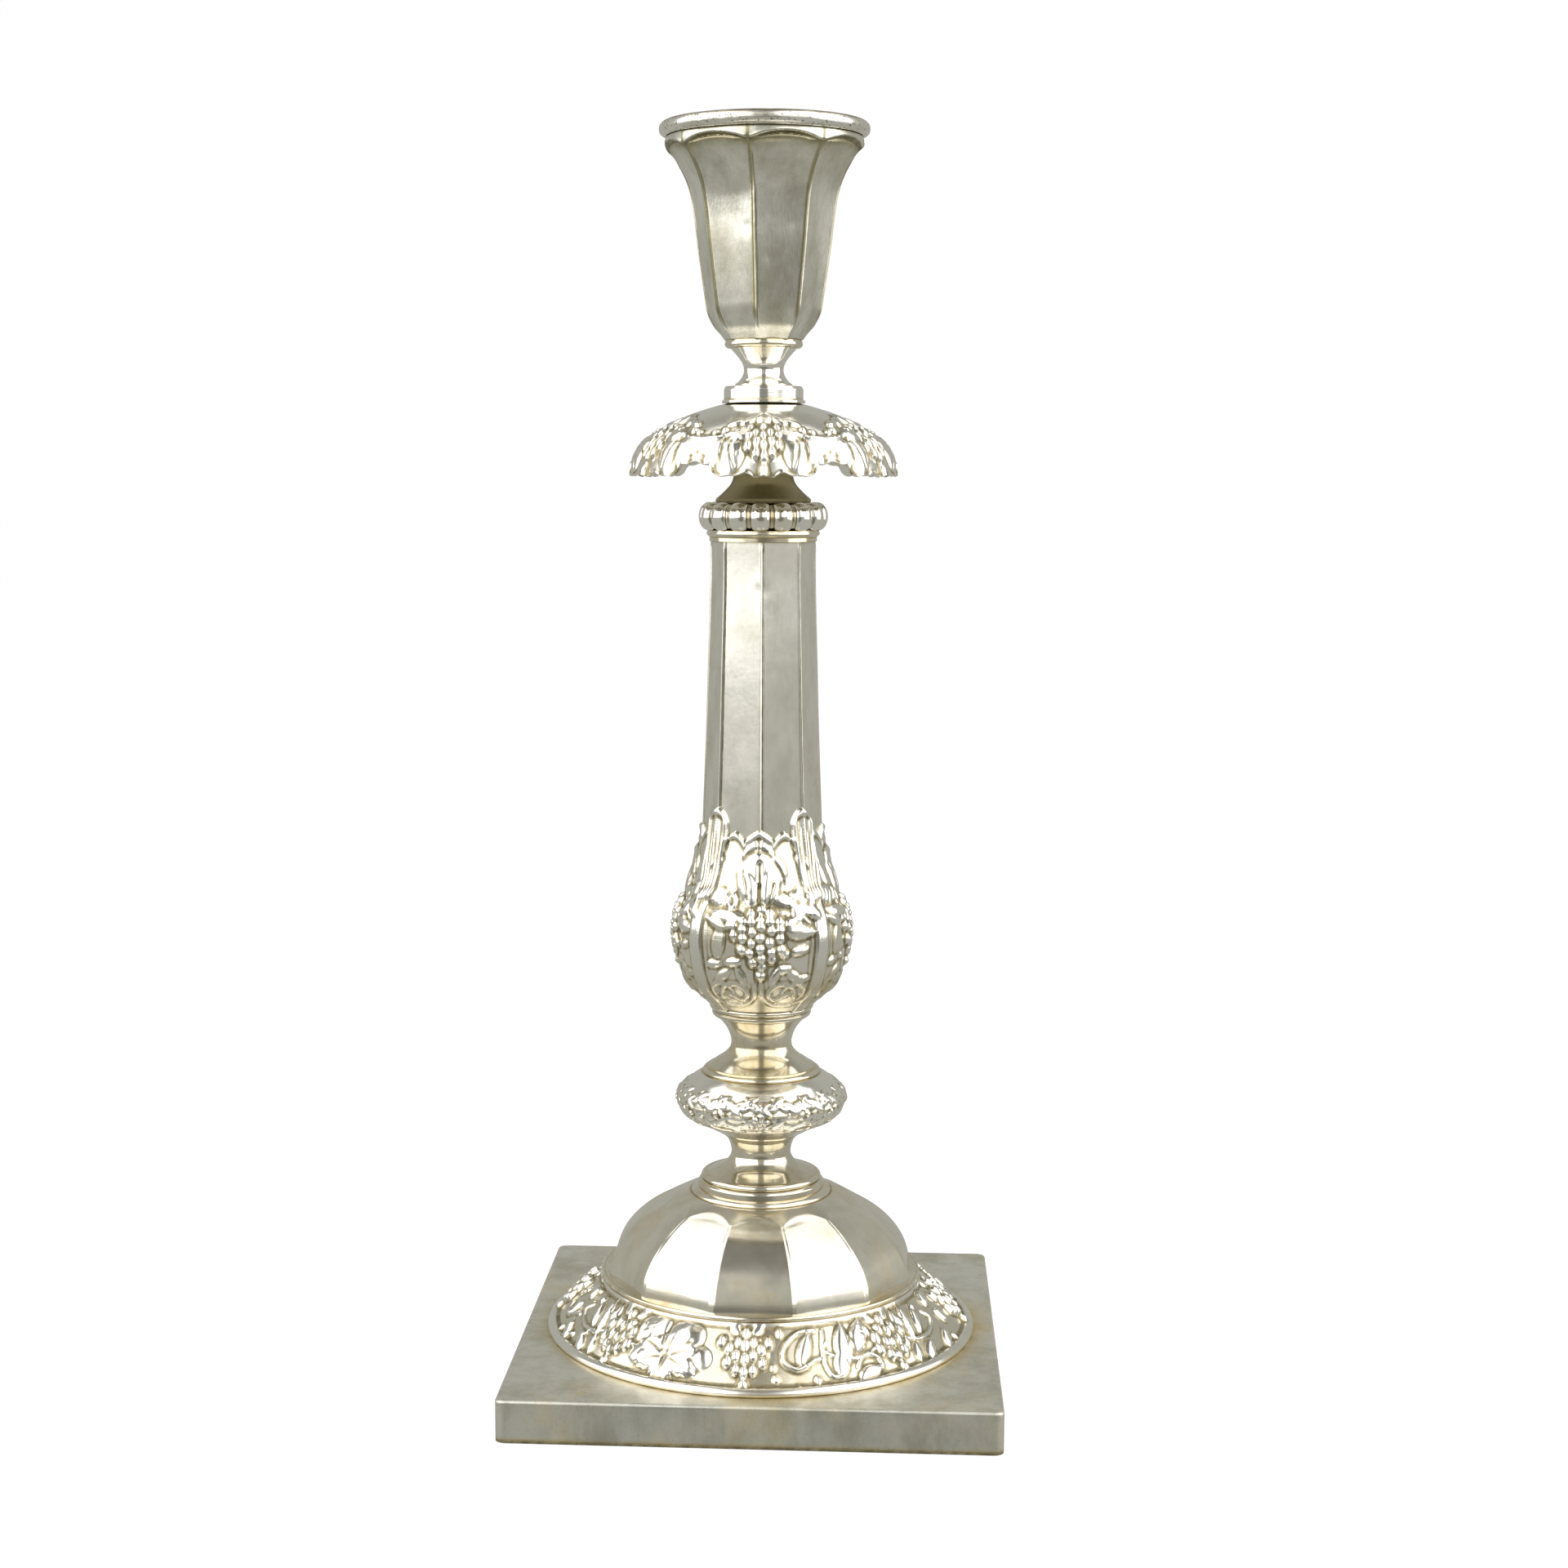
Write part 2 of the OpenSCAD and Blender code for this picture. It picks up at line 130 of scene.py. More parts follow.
def make_camera():
    """A camera at the fitted place, built from its right, up and backward directions."""
    data = bpy.data.cameras.new("camera")
    data.lens = CAMERA_LENS
    data.sensor_width = 36
    data.shift_x = CAMERA_SHIFT
    data.clip_start = 0.01
    camera = bpy.data.objects.new("camera", data)
    SCENE.collection.objects.link(camera)
    heading = Matrix.Rotation(math.radians(CAMERA_AZIMUTH - CAMERA_YAW), 3, "Z")
    tilt = Matrix.Rotation(math.radians(90 - CAMERA_PITCH), 3, "X")
    roll = Matrix.Rotation(math.radians(-CAMERA_ROLL), 3, "Z")
    camera.matrix_world = (Matrix.Translation(around(0, CAMERA_REACH, CAMERA_HEIGHT))
                           @ (heading @ tilt @ roll).to_4x4())
    SCENE.camera = camera


TENT_SIDE = 1250              # mm from the stem to the tent's side walls
TENT_FRONT = 1500
TENT_BACK = 430
TENT_TOP = 1600
TOP_BACK = 900                # how far back the tent's top runs
FRONT_GAP = 330               # half of the dim gap round the camera
TOP_GAP = 270                 # half of the dim gap overhead
SIDE_GLOW = 1.5               # radiance of the side walls
TOP_GLOW = 1.35
ROOM = (0.43, 0.43, 0.39, 1)
ROOM_OVERHEAD = (0.20, 0.195, 0.17, 1)
ROOM_IN_FRONT = (0.19, 0.19, 0.168, 1)


def tent_box(name, centre, wide, tall, facing, radiance):
    """A soft light on a wall or the top of the tent. centre is its place right of, behind and
    above the stem's foot as the camera sees it, in mm; radiance is in W/m2/sr. facing is the
    heading from ahead towards the left that it shines to, in degrees, or None for down."""
    data = bpy.data.lights.new(name, "AREA")
    data.shape = "RECTANGLE"
    data.size = wide * MM
    data.size_y = tall * MM
    data.energy = radiance * math.pi * data.size * data.size_y
    light = bpy.data.objects.new(name, data)
    SCENE.collection.objects.link(light)
    room = Matrix.Rotation(math.radians(CAMERA_AZIMUTH), 3, "Z")
    light.location = room @ Vector(centre) * MM
    if facing is not None:
        room = room @ Matrix.Rotation(math.radians(facing), 3, "Z")
        room = room @ Matrix.Rotation(math.radians(90), 3, "X")
    light.rotation_euler = room.to_euler()
    light.visible_camera = False


def side_wall(name, side, front, back, low_edge, high_edge):
    """A light on a side wall, between two distances behind the stem (negative is in front)."""
    centre = (side * TENT_SIDE, (front + back) / 2, (low_edge + high_edge) / 2)
    tent_box(name, centre, back - front, high_edge - low_edge, side * 90, SIDE_GLOW)


def front_wall(name, side, low_edge, radiance):
    """A light on the front wall, beside the dim gap round the camera."""
    centre = (side * (TENT_SIDE + FRONT_GAP) / 2, -TENT_FRONT, (low_edge + TENT_TOP) / 2)
    tent_box(name, centre, TENT_SIDE - FRONT_GAP, TENT_TOP - low_edge, 0, radiance)


def top_half(name, side):
    """A light over one half of the tent's top."""
    centre = (side * (TENT_SIDE + TOP_GAP) / 2, (TOP_BACK - TENT_FRONT) / 2, TENT_TOP)
    tent_box(name, centre, TENT_SIDE - TOP_GAP, TOP_BACK + TENT_FRONT, None, TOP_GLOW)


def make_lights():
    """A light tent: soft walls and top on both sides, and a dim gap along the middle."""
    side_wall("left_wall", -1, -TENT_FRONT, TENT_BACK, 150, TENT_TOP)
    side_wall("right_wall", 1, -TENT_FRONT, TENT_BACK, 330, TENT_TOP)
    side_wall("right_low", 1, -850, 330, 40, 330)
    front_wall("left_front", -1, 190, 1.35)
    front_wall("right_front", 1, 290, 1.3)
    top_half("left_top", -1)
    top_half("right_top", 1)
    make_room()
    SCENE.view_settings.view_transform = "Standard"


def make_room():
    """The dim room beyond the tent: darker overhead and low in front of the camera's side."""
    world = bpy.data.worlds.new("studio")
    SCENE.world = world
    world.use_nodes = True
    tree = world.node_tree
    turned = node(tree, "Mapping", vector=node(tree, "TexCoord"),
                  rotation=(0, 0, math.radians(-CAMERA_AZIMUTH)))
    direction = tree.nodes.new("ShaderNodeSeparateXYZ")
    tree.links.new(turned, direction.inputs[0])
    _, ahead, above = direction.outputs
    facing = span(tree, ahead, -0.97, -0.80, 1.0, 0.0)
    off_level = calc(tree, "ABSOLUTE", calc(tree, "ADD", above, 0.17))
    level = span(tree, off_level, 0.12, 0.34, 1.0, 0.0)
    overhead = span(tree, above, 0.5, 0.95)
    room = blend(tree, overhead, ROOM, ROOM_OVERHEAD)
    room = blend(tree, calc(tree, "MULTIPLY", facing, level), room, ROOM_IN_FRONT)
    background = tree.nodes["Background"]
    tree.links.new(room, background.inputs["Color"])


def plain_material(name, colour, roughness, glow):
    """One even colour with a white glow, for the set only."""
    material = bpy.data.materials.new(name)
    material.use_nodes = True
    shader = material.node_tree.nodes["Principled BSDF"]
    shader.inputs["Base Color"].default_value = (*colour, 1)
    shader.inputs["Roughness"].default_value = roughness
    shader.inputs["Emission Color"].default_value = (1, 1, 1, 1)
    shader.inputs["Emission Strength"].default_value = glow
    return material


def stage_piece(name, points, faces, material):
    """A piece of the set, which the metal doesn't mirror."""
    mesh = bpy.data.meshes.new(name)
    mesh.from_pydata(points, [], faces)
    mesh.materials.append(material)
    piece = bpy.data.objects.new(name, mesh)
    SCENE.collection.objects.link(piece)
    piece.visible_glossy = False
    return piece


def make_stage():
    """A plain pale floor and a round white wall, both 4 m from the stem."""
    half = 4.0
    level = -0.05 * MM           # just under the plinth's hem, so that the two don't coincide
    corners = [(-half, -half, level), (half, -half, level), (half, half, level),
               (-half, half, level)]
    pale = plain_material("pale_floor", (0.20, 0.20, 0.197), 0.9, 0.93)
    white = plain_material("white_wall", (0.0, 0.0, 0.0), 1.0, 1.0)
    stage_piece("floor", corners, [(0, 1, 2, 3)], pale)
    sides = 48
    turns = [2 * math.pi * k / sides for k in range(sides)]
    ring = [(half * math.cos(turn), half * math.sin(turn), z) for z in (-0.5, 5.0)
            for turn in turns]
    panels = [(k, (k + 1) % sides, sides + (k + 1) % sides, sides + k) for k in range(sides)]
    wall = stage_piece("wall", ring, panels, white)
    wall.visible_diffuse = False
    wall.visible_shadow = False


# ---- outlines

def smooth(points, steps=12):
    """A Catmull-Rom curve through (radius, height) points."""
    p = np.array(points, float)
    last = len(p) - 1
    run = []
    for i in range(last):
        a, b, c, d = p[max(i - 1, 0)], p[i], p[i + 1], p[min(i + 2, last)]
        for t in np.arange(steps) / steps:
            run.append(0.5 * (2 * b + (c - a) * t + (2 * a - 5 * b + 4 * c - d) * t ** 2
                              + (3 * b - a - 3 * c + d) * t ** 3))
    return np.array(run + [p[last]])


def join(*lines):
    """One outline from several runs of points."""
    return np.vstack([np.array(line, float) for line in lines])


def lengths(line):
    """Distance along the outline to each of its points."""
    return np.r_[0, np.cumsum(np.hypot(*np.diff(line, axis=0).T))]


def resample(line, spacing):
    """The same outline with its points at an even spacing, in mm."""
    run = lengths(line)
    count = max(3, int(round(run[-1] / spacing)) + 1)
    at = np.linspace(0, run[-1], count)
    return np.column_stack([np.interp(at, run, line[:, k]) for k in (0, 1)])


def lifted(line, z):
    return np.array(line, float) + (0, z)


def normals(line):
    """Unit vectors to the right of the outline, which is the outside of an upward one."""
    step = np.gradient(line, axis=0)
    out = np.column_stack([step[:, 1], -step[:, 0]])
    return out / np.maximum(np.hypot(*out.T), 1e-9)[:, None]


def smoothstep(value, start, end):
    """A smooth rise from 0 at start to 1 at end."""
    t = np.clip((value - start) / (end - start), 0, 1)
    return t * t * (3 - 2 * t)


def bell(value, centre, width):
    """A round bump of height 1 about a centre; width is where it has fallen to 0.37."""
    return np.exp(-((value - centre) / width) ** 2)


def panel_share(angles, sides, first):
    """Place across a panel at each angle, from -1 at one edge through 0 to 1 at the other."""
    sector = 360 / sides
    return ((angles - first) % sector - sector / 2) / (sector / 2)


def inset(line, gap):
    """The outline moved inward by a gap."""
    return line - normals(line) * gap


def low(node):
    """Level of a CAD node's bottom in mm."""
    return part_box(node)[0].z / MM


def high(node):
    """Level of a CAD node's top in mm."""
    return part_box(node)[1].z / MM


# ---- swept grids and meshes

def bearings(columns, start=-180.0):
    """Evenly spaced angles once round the axis, in degrees from the front."""
    return start + 360 * np.arange(columns) / columns


def polygon_factor(angles, sides, first):
    """Radius of a polygon with rounded corners against its corner radius, at each angle; first
    is a corner's angle."""
    sector = 360 / sides
    total = 0
    shifts = np.linspace(-CORNER_SOFT, CORNER_SOFT, 5)
    for shift in shifts:
        within = (angles + shift - first) % sector - sector / 2
        total = total + math.cos(math.radians(sector / 2)) / np.cos(np.radians(within))
    return total / len(shifts)


def sweep(line, columns, start=-180.0, factor=None, height=None):
    """Grid of points (rows, columns, 3) in mm: the outline swept round the axis from the row
    angle start, its radius times factor, then moved outward by height."""
    angles = bearings(columns, start)
    radius = np.repeat(line[:, :1], columns, axis=1)
    level = np.repeat(line[:, 1:], columns, axis=1)
    if factor is not None:
        radius = radius * factor
    if height is not None:
        out = normals(line)
        radius = radius + height * out[:, :1]
        level = level + height * out[:, 1:]
    turn = np.radians(angles + FRONT)
    return np.stack([radius * np.cos(turn), radius * np.sin(turn), level], axis=-1)


def blurred(grid, rows, columns):
    """The grid averaged over a window, wrapped round the axis and held at its two ends."""
    for axis, reach, mode in ((0, rows, "edge"), (1, columns, "wrap")):
        if reach < 1:
            continue
        pad = [(0, 0)] * grid.ndim
        pad[axis] = (reach, reach)
        total = np.cumsum(np.pad(grid, pad, mode=mode), axis=axis)
        zero = np.zeros_like(np.take(total, [0], axis=axis))
        total = np.concatenate([zero, total], axis=axis)
        size = grid.shape[axis]
        window = 2 * reach + 1
        upper = np.take(total, np.arange(window, window + size), axis=axis)
        lower = np.take(total, np.arange(0, size), axis=axis)
        grid = (upper - lower) / window
    return grid


def recess_of(grid, reach, depth):
    """How far each point lies below its surroundings, from 0 to 1 at the given depth in mm."""
    if grid.shape[0] < 3:
        return np.zeros(grid.shape[:2])
    across = np.roll(grid, -1, axis=1) - np.roll(grid, 1, axis=1)
    along = np.gradient(grid, axis=0)
    out = np.cross(across, along)
    out /= np.maximum(np.linalg.norm(out, axis=-1), 1e-9)[..., None]
    row_step = max(np.median(np.linalg.norm(along, axis=-1)), 1e-3)
    column_step = max(np.median(np.linalg.norm(across, axis=-1)) / 2, 1e-3)
    rows = int(min(reach / row_step, grid.shape[0] // 2))
    columns = int(min(reach / column_step, grid.shape[1] // 8))
    below = np.sum((blurred(grid, rows, columns) - grid) * out, axis=-1)
    return np.clip(below / depth, 0, 1)


def strip(lower, upper):
    """Faces between two closed loops of vertex numbers, where one may have more points."""
    if len(lower) < len(upper):
        return [face[::-1] for face in strip(upper, lower)]
    ratio = len(lower) // len(upper)
    count = len(upper)
    if ratio == 1:
        after_low, after_up = np.roll(lower, -1), np.roll(upper, -1)
        return np.stack([lower, after_low, after_up, upper], axis=1).tolist()
    faces = []
    for k in range(count):
        below = [int(lower[(k * ratio + m) % len(lower)]) for m in range(ratio + 1)]
        faces.append(below + [int(upper[(k + 1) % count]), int(upper[k])])
    return faces


def seam_of(grid, width):
    """Dirt and painted shade along the first and last rows of a piece, within a width in mm."""
    run = np.r_[0, np.cumsum(np.linalg.norm(np.diff(grid[:, 0], axis=0), axis=1))]
    near = np.minimum(run, run[-1] - run)
    return 0.45 * bell(near, 0, width)[:, None] * np.ones(grid.shape[1])


def shell(name, grids, body, nodes, material, recess=(1.2, 0.35), sharp=50, seam=0.25):
    """A piece from one or more grids joined row by row, and its last row to its first. The
    first grid is the outside, with dirt and painted shade along its two seams."""
    points, wear_and_shade, loops = [], [], []
    start = 0
    for grid in grids:
        rows, columns = grid.shape[:2]
        points.append(grid.reshape(-1, 3))
        worn_and_shaded = recess_of(grid, *recess)
        # dirt and painted shade along the two seams, where the piece meets its neighbours
        if grid is grids[0] and seam > 0:
            worn_and_shaded = np.maximum(worn_and_shaded, seam_of(grid, seam))
        wear_and_shade.append(worn_and_shaded.reshape(-1))
        loops += [start + r * columns + np.arange(columns) for r in range(rows)]
        start += rows * columns
    faces = []
    for below, above in zip(loops, loops[1:]):
        faces += strip(below, above)
    faces += strip(loops[-1], loops[0])
    mesh = bpy.data.meshes.new(name)
    mesh.from_pydata((np.vstack(points) * MM).tolist(), [], faces)
    mesh.polygons.foreach_set("use_smooth", [True] * len(mesh.polygons))
    mesh.set_sharp_from_angle(angle=math.radians(sharp))
    layer = mesh.attributes.new("recess", "FLOAT", "POINT")
    layer.data.foreach_set("value", np.concatenate(wear_and_shade))
    piece = bpy.data.objects.new(name, mesh)
    SCENE.collection.objects.link(piece)
    mesh.materials.append(material)
    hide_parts(*nodes)
    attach(piece, body)
    return piece


def add_wear_and_shade(piece, wear_and_shade):
    """Raise the recess value, which sets tarnish, dirt and painted shade, over the rows of a piece's
    first grid.
    """
    layer = piece.data.attributes["recess"]
    values = np.zeros(len(piece.data.vertices))
    layer.data.foreach_get("value", values)
    values[:wear_and_shade.size] = np.maximum(values[:wear_and_shade.size], wear_and_shade.reshape(-1))
    layer.data.foreach_set("value", values)


def sided(middle, side, *places):
    """Places given to one side of a middle angle."""
    return [(middle + side * angle, up) for angle, up in places]


class Relief:
    """Height over one repeat of a band, in mm. Places are (row angle in degrees, mm up the
    outline); the repeat runs from -period/2 to +period/2."""

    def __init__(self, line, columns, period, centre=0.0):
        self.columns = columns
        self.repeats = int(round(360 / period))
        self.period = period
        self.start = centre - period / 2
        count = columns // self.repeats
        self.angle = (self.start + period * np.arange(count) / count)[None, :]
        self.up = lengths(line)[:, None]
        self.radius = line[:, :1]
        self.height = np.zeros((len(line), count))
        self.dice = np.random.default_rng(7)

    def offset(self, angle, up):
        """Distance in mm round and up from a place to every point."""
        turn = (self.angle - angle + self.period / 2) % self.period - self.period / 2
        return np.radians(turn) * self.radius, self.up - up

    def local(self, angle, up, turn):
        """The same offsets in axes turned by an angle, x along the turned direction."""
        dx, dy = self.offset(angle, up)
        c, s = math.cos(math.radians(turn)), math.sin(math.radians(turn))
        return c * dx + s * dy, c * dy - s * dx

    def add(self, height):
        """Lays a form on the relief, where the higher of the two shows."""
        self.height = np.maximum(self.height, height)

    def berry(self, angle, up, size, height, tall=1.0):
        """A dome of a given radius; tall stretches it upward."""
        dx, dy = self.offset(angle, up)
        inside = np.clip(1 - (dx / size) ** 2 - (dy / (size * tall)) ** 2, 0, None)
        self.add(height * np.sqrt(inside))

    def pad(self, angle, up, turn, long, wide, height, edge=0.35):
        """A soft oval lobe with a rounded edge."""
        x, y = self.local(angle, up, turn)
        away = np.sqrt((2 * x / long) ** 2 + (2 * y / wide) ** 2)
        self.add(height * np.clip((1 - away) / edge, 0, 1) ** 0.6)

    def drop(self, angle, up, turn, long, wide, height):
        """A leaf pointed at both ends, ridged along its middle. x runs towards its tip."""
        x, y = self.local(angle, up, turn)
        t = np.clip(x / long + 0.5, 0, 1)
        half = wide / 2 * np.sin(math.pi * t ** 0.8) ** 0.8 + 1e-6
        across = np.abs(y) / half
        live = (np.abs(x) < long / 2) & (across < 1)
        self.add(np.where(live, height * np.sqrt(np.clip(1 - across ** 2, 0, 1))
                          * np.sin(math.pi * np.clip(t, 0.04, 0.96)) ** 0.35, 0))

    def leaf(self, angle, up, turn, long, wide, height, lobes=5, notch=0.42):
        """A lobed vine leaf with sunk veins. turn points from its stalk to its tip."""
        x, y = self.local(angle, up, turn)
        x, y = 2 * x / long, 2 * y / wide
        away = np.hypot(x, y)
        bearing = np.arctan2(y, x)
        lobe = np.abs(np.cos(lobes / 2 * bearing))
        rim = 1 - notch + notch * lobe ** 0.75 + 0.03 * np.cos(lobes * 5 * bearing)
        t = away / rim
        body = np.clip((1 - t) / 0.22, 0, 1) ** 0.7 * (0.72 + 0.28 * np.sin(math.pi * np.clip(t, 0, 1)))
        size = min(long, wide) / 2
        veins = np.zeros_like(x)
        for k in range(lobes):
            axis = 2 * math.pi * k / lobes
            beside = np.abs(np.sin(bearing - axis)) * away * size
            ahead = np.cos(bearing - axis) > 0
            veins = np.maximum(veins, np.where(ahead, bell(beside, 0, 0.28), 0))
        self.add(height * body * (1 - 0.38 * veins * np.clip(1.1 - t, 0, 1)))

    def stroke(self, places, width, height, taper=(1.0, 1.0)):
        """Height of a rounded ridge along a smooth run of places, and each point's distance to
        it. taper scales its width at each end."""
        line = smooth(places, 6)
        best = np.full(self.height.shape, 1e9)
        share = np.zeros_like(best)
        for k in range(len(line) - 1):
            ax, ay = self.offset(*line[k])
            bx, by = self.offset(*line[k + 1])
            sx, sy = ax - bx, ay - by
            t = np.clip((ax * sx + ay * sy) / np.maximum(sx ** 2 + sy ** 2, 1e-9), 0, 1)
            far = np.hypot(ax - t * sx, ay - t * sy)
            nearer = far < best
            best = np.where(nearer, far, best)
            share = np.where(nearer, (k + t) / (len(line) - 1), share)
        half = width / 2 * (taper[0] + (taper[1] - taper[0]) * share)
        ridge = np.sqrt(np.clip(1 - (best / np.maximum(half, 1e-6)) ** 2, 0, 1))
        return height * ridge * (0.6 + 0.4 * np.minimum(half * 2 / width, 1)), best

    def ridge(self, places, width, height, taper=(1.0, 1.0)):
        """A raised cord along a smooth run of places."""
        self.add(self.stroke(places, width, height, taper)[0])

    def groove(self, places, width, depth):
        """A rounded cut along a smooth run of places."""
        far = self.stroke(places, width, 1.0)[1]
        self.height = self.height - depth * bell(far, 0, width / 2)

    def grapes(self, angle, top, tip, wide, size, height, tall=1.15, loose=0.1, step=1.7):
        """A bunch that narrows to its tip, in upright columns set half a berry up from each
        other. wide is in mm; loose moves the berries about."""
        mid = float(np.interp((top + tip) / 2, self.up[:, 0], self.radius[:, 0]))
        pitch = size * step
        side = max(1, int(wide / 2 / pitch))
        self.pad(angle, top - (top - tip) * 0.42, 90, (top - tip) * 0.8, wide * 0.8,
                 height * 0.45, 0.7)
        for k in range(-side, side + 1):
            share = abs(k) / (side + 0.6)
            foot = tip + (top - tip) * 0.86 * share ** 1.25
            rise = size * tall * step * 1.02
            up = foot + (k % 2) * rise / 2
            while up < top - 0.9 * share * rise:
                across = k * pitch + self.dice.normal(0, loose * size)
                place = up + self.dice.normal(0, loose * size)
                self.berry(angle + math.degrees(across / mid), place,
                           size * self.dice.uniform(0.94, 1.06),
                           height * (1 - 0.3 * share ** 2), tall)
                up += rise

    def spray(self, shape, middle, side, rows):
        """Draws a lobe or a leaf for each row, to one side of a middle angle. A row holds its
        angle from the middle, mm up, lean from upright in degrees, and its sizes."""
        for angle, up, lean, *sizes in rows:
            shape(middle + side * angle, up, 90 - side * lean, *sizes)

    def stipple(self, mask, pitch, height):
        """Fine dots wherever the mask is not 0."""
        dx, dy = self.offset(0, 0)
        grain = np.cos(math.pi * dx / pitch) * np.cos(math.pi * dy / pitch)
        self.height = self.height + height * np.clip(np.abs(grain), 0, 1) * mask

    def region(self, angle, up, turn, long, wide):
        """1 inside an oval and 0 outside it, with a soft edge."""
        x, y = self.local(angle, up, turn)
        return np.clip((1 - np.sqrt((2 * x / long) ** 2 + (2 * y / wide) ** 2)) / 0.15, 0, 1)

    def full(self, soften=0):
        """The height all the way round, softened a little so that no edge is a bare step."""
        whole = np.tile(self.height, (1, self.repeats))
        for _ in range(soften):
            whole = blurred(whole, 1, 1)
        return whole


# ---- materials

BRUSHED_UP = (1, 1, 0.03)      # lines that run up the piece
BRUSHED_ROUND = (0.06, 0.06, 1)  # lines that run round it


def metal(name, clean, tarnish, soil_and_shade_colour, roughness, cover=0.25, patch=0.5, gather=0.9,
          dirt_and_shade=0.5, lines=BRUSHED_ROUND, scratch=0.05, specks=0.0, stain=0.0):
    """Worn metal. cover and patch are the even and cloudy tarnish, gather is the tarnish that
    collects in recesses, dirt the dark soil there, which also paints the shade in crevices and
    seams, scratch the depth of the fine lines, specks the dark spots and stain the olive stains."""
    material = bpy.data.materials.new(name)
    material.use_nodes = True
    tree = material.node_tree
    shader = tree.nodes["Principled BSDF"]
    place = node(tree, "TexCoord", output=3)
    recess = node(tree, "Attribute", output=2, settings={"attribute_name": "recess"})
    clouds = noise(tree, place, 55, 5, 0.6)
    mottle = noise(tree, place, 420, 4, 0.65)
    spots = noise(tree, place, 1500, 2, 0.5)

    cloudy = calc(tree, "MULTIPLY", span(tree, clouds, 0.45, 0.75), patch)
    gathered = calc(tree, "MULTIPLY", span(tree, recess, 0.08, 0.6), gather)
    amount = calc(tree, "ADD", calc(tree, "ADD", cloudy, gathered), cover)
    amount = calc(tree, "MULTIPLY", amount, span(tree, mottle, 0.2, 0.75, 0.65, 1.2), clamp=True)
    # soil in recesses and along seams: dirt, and painted shade in the crevices
    soil_and_shade = calc(tree, "MULTIPLY", span(tree, recess, 0.3, 0.85), dirt_and_shade)
    soil_and_shade = calc(tree, "MULTIPLY", soil_and_shade, span(tree, mottle, 0.35, 0.65, 0.5, 1.0), clamp=True)
    if specks > 0:
        dark = calc(tree, "MULTIPLY", span(tree, spots, 0.60, 0.66), specks)
        soil_and_shade = calc(tree, "MAXIMUM", soil_and_shade, dark)
    colour = blend(tree, amount, (*clean, 1), (*tarnish, 1))
    if stain > 0:
        blots = noise(tree, place, 90, 7, 0.68, (1, 1, 0.5))
        stained = calc(tree, "MULTIPLY", span(tree, blots, 0.36, 0.72), stain)
        colour = blend(tree, stained, colour, (*OLIVE, 1))
    colour = blend(tree, soil_and_shade, colour, (*soil_and_shade_colour, 1))
    wire(tree, shader.inputs["Base Color"], colour)
    shader.inputs["Metallic"].default_value = 1.0

    haze = calc(tree, "MULTIPLY_ADD", amount, 0.07, span(tree, clouds, 0.3, 0.7, *roughness))
    wire(tree, shader.inputs["Roughness"], calc(tree, "MULTIPLY_ADD", soil_and_shade, 0.2, haze))

    hairs = noise(tree, place, 2600, 2, 0.6, lines)
    height = calc(tree, "MULTIPLY_ADD", clouds, 3.0, hairs)
    bump = node(tree, "Bump", strength=scratch, distance=0.0004, height=height)
    wire(tree, shader.inputs["Normal"], bump)
    return material


CLEAN = (0.91, 0.89, 0.84)
OCHRE = (0.70, 0.59, 0.36)
OLIVE = (0.34, 0.32, 0.22)
# dark soil colour, which also paints the shade in crevices and seams
SOIL_AND_SHADE = (0.13, 0.115, 0.075)


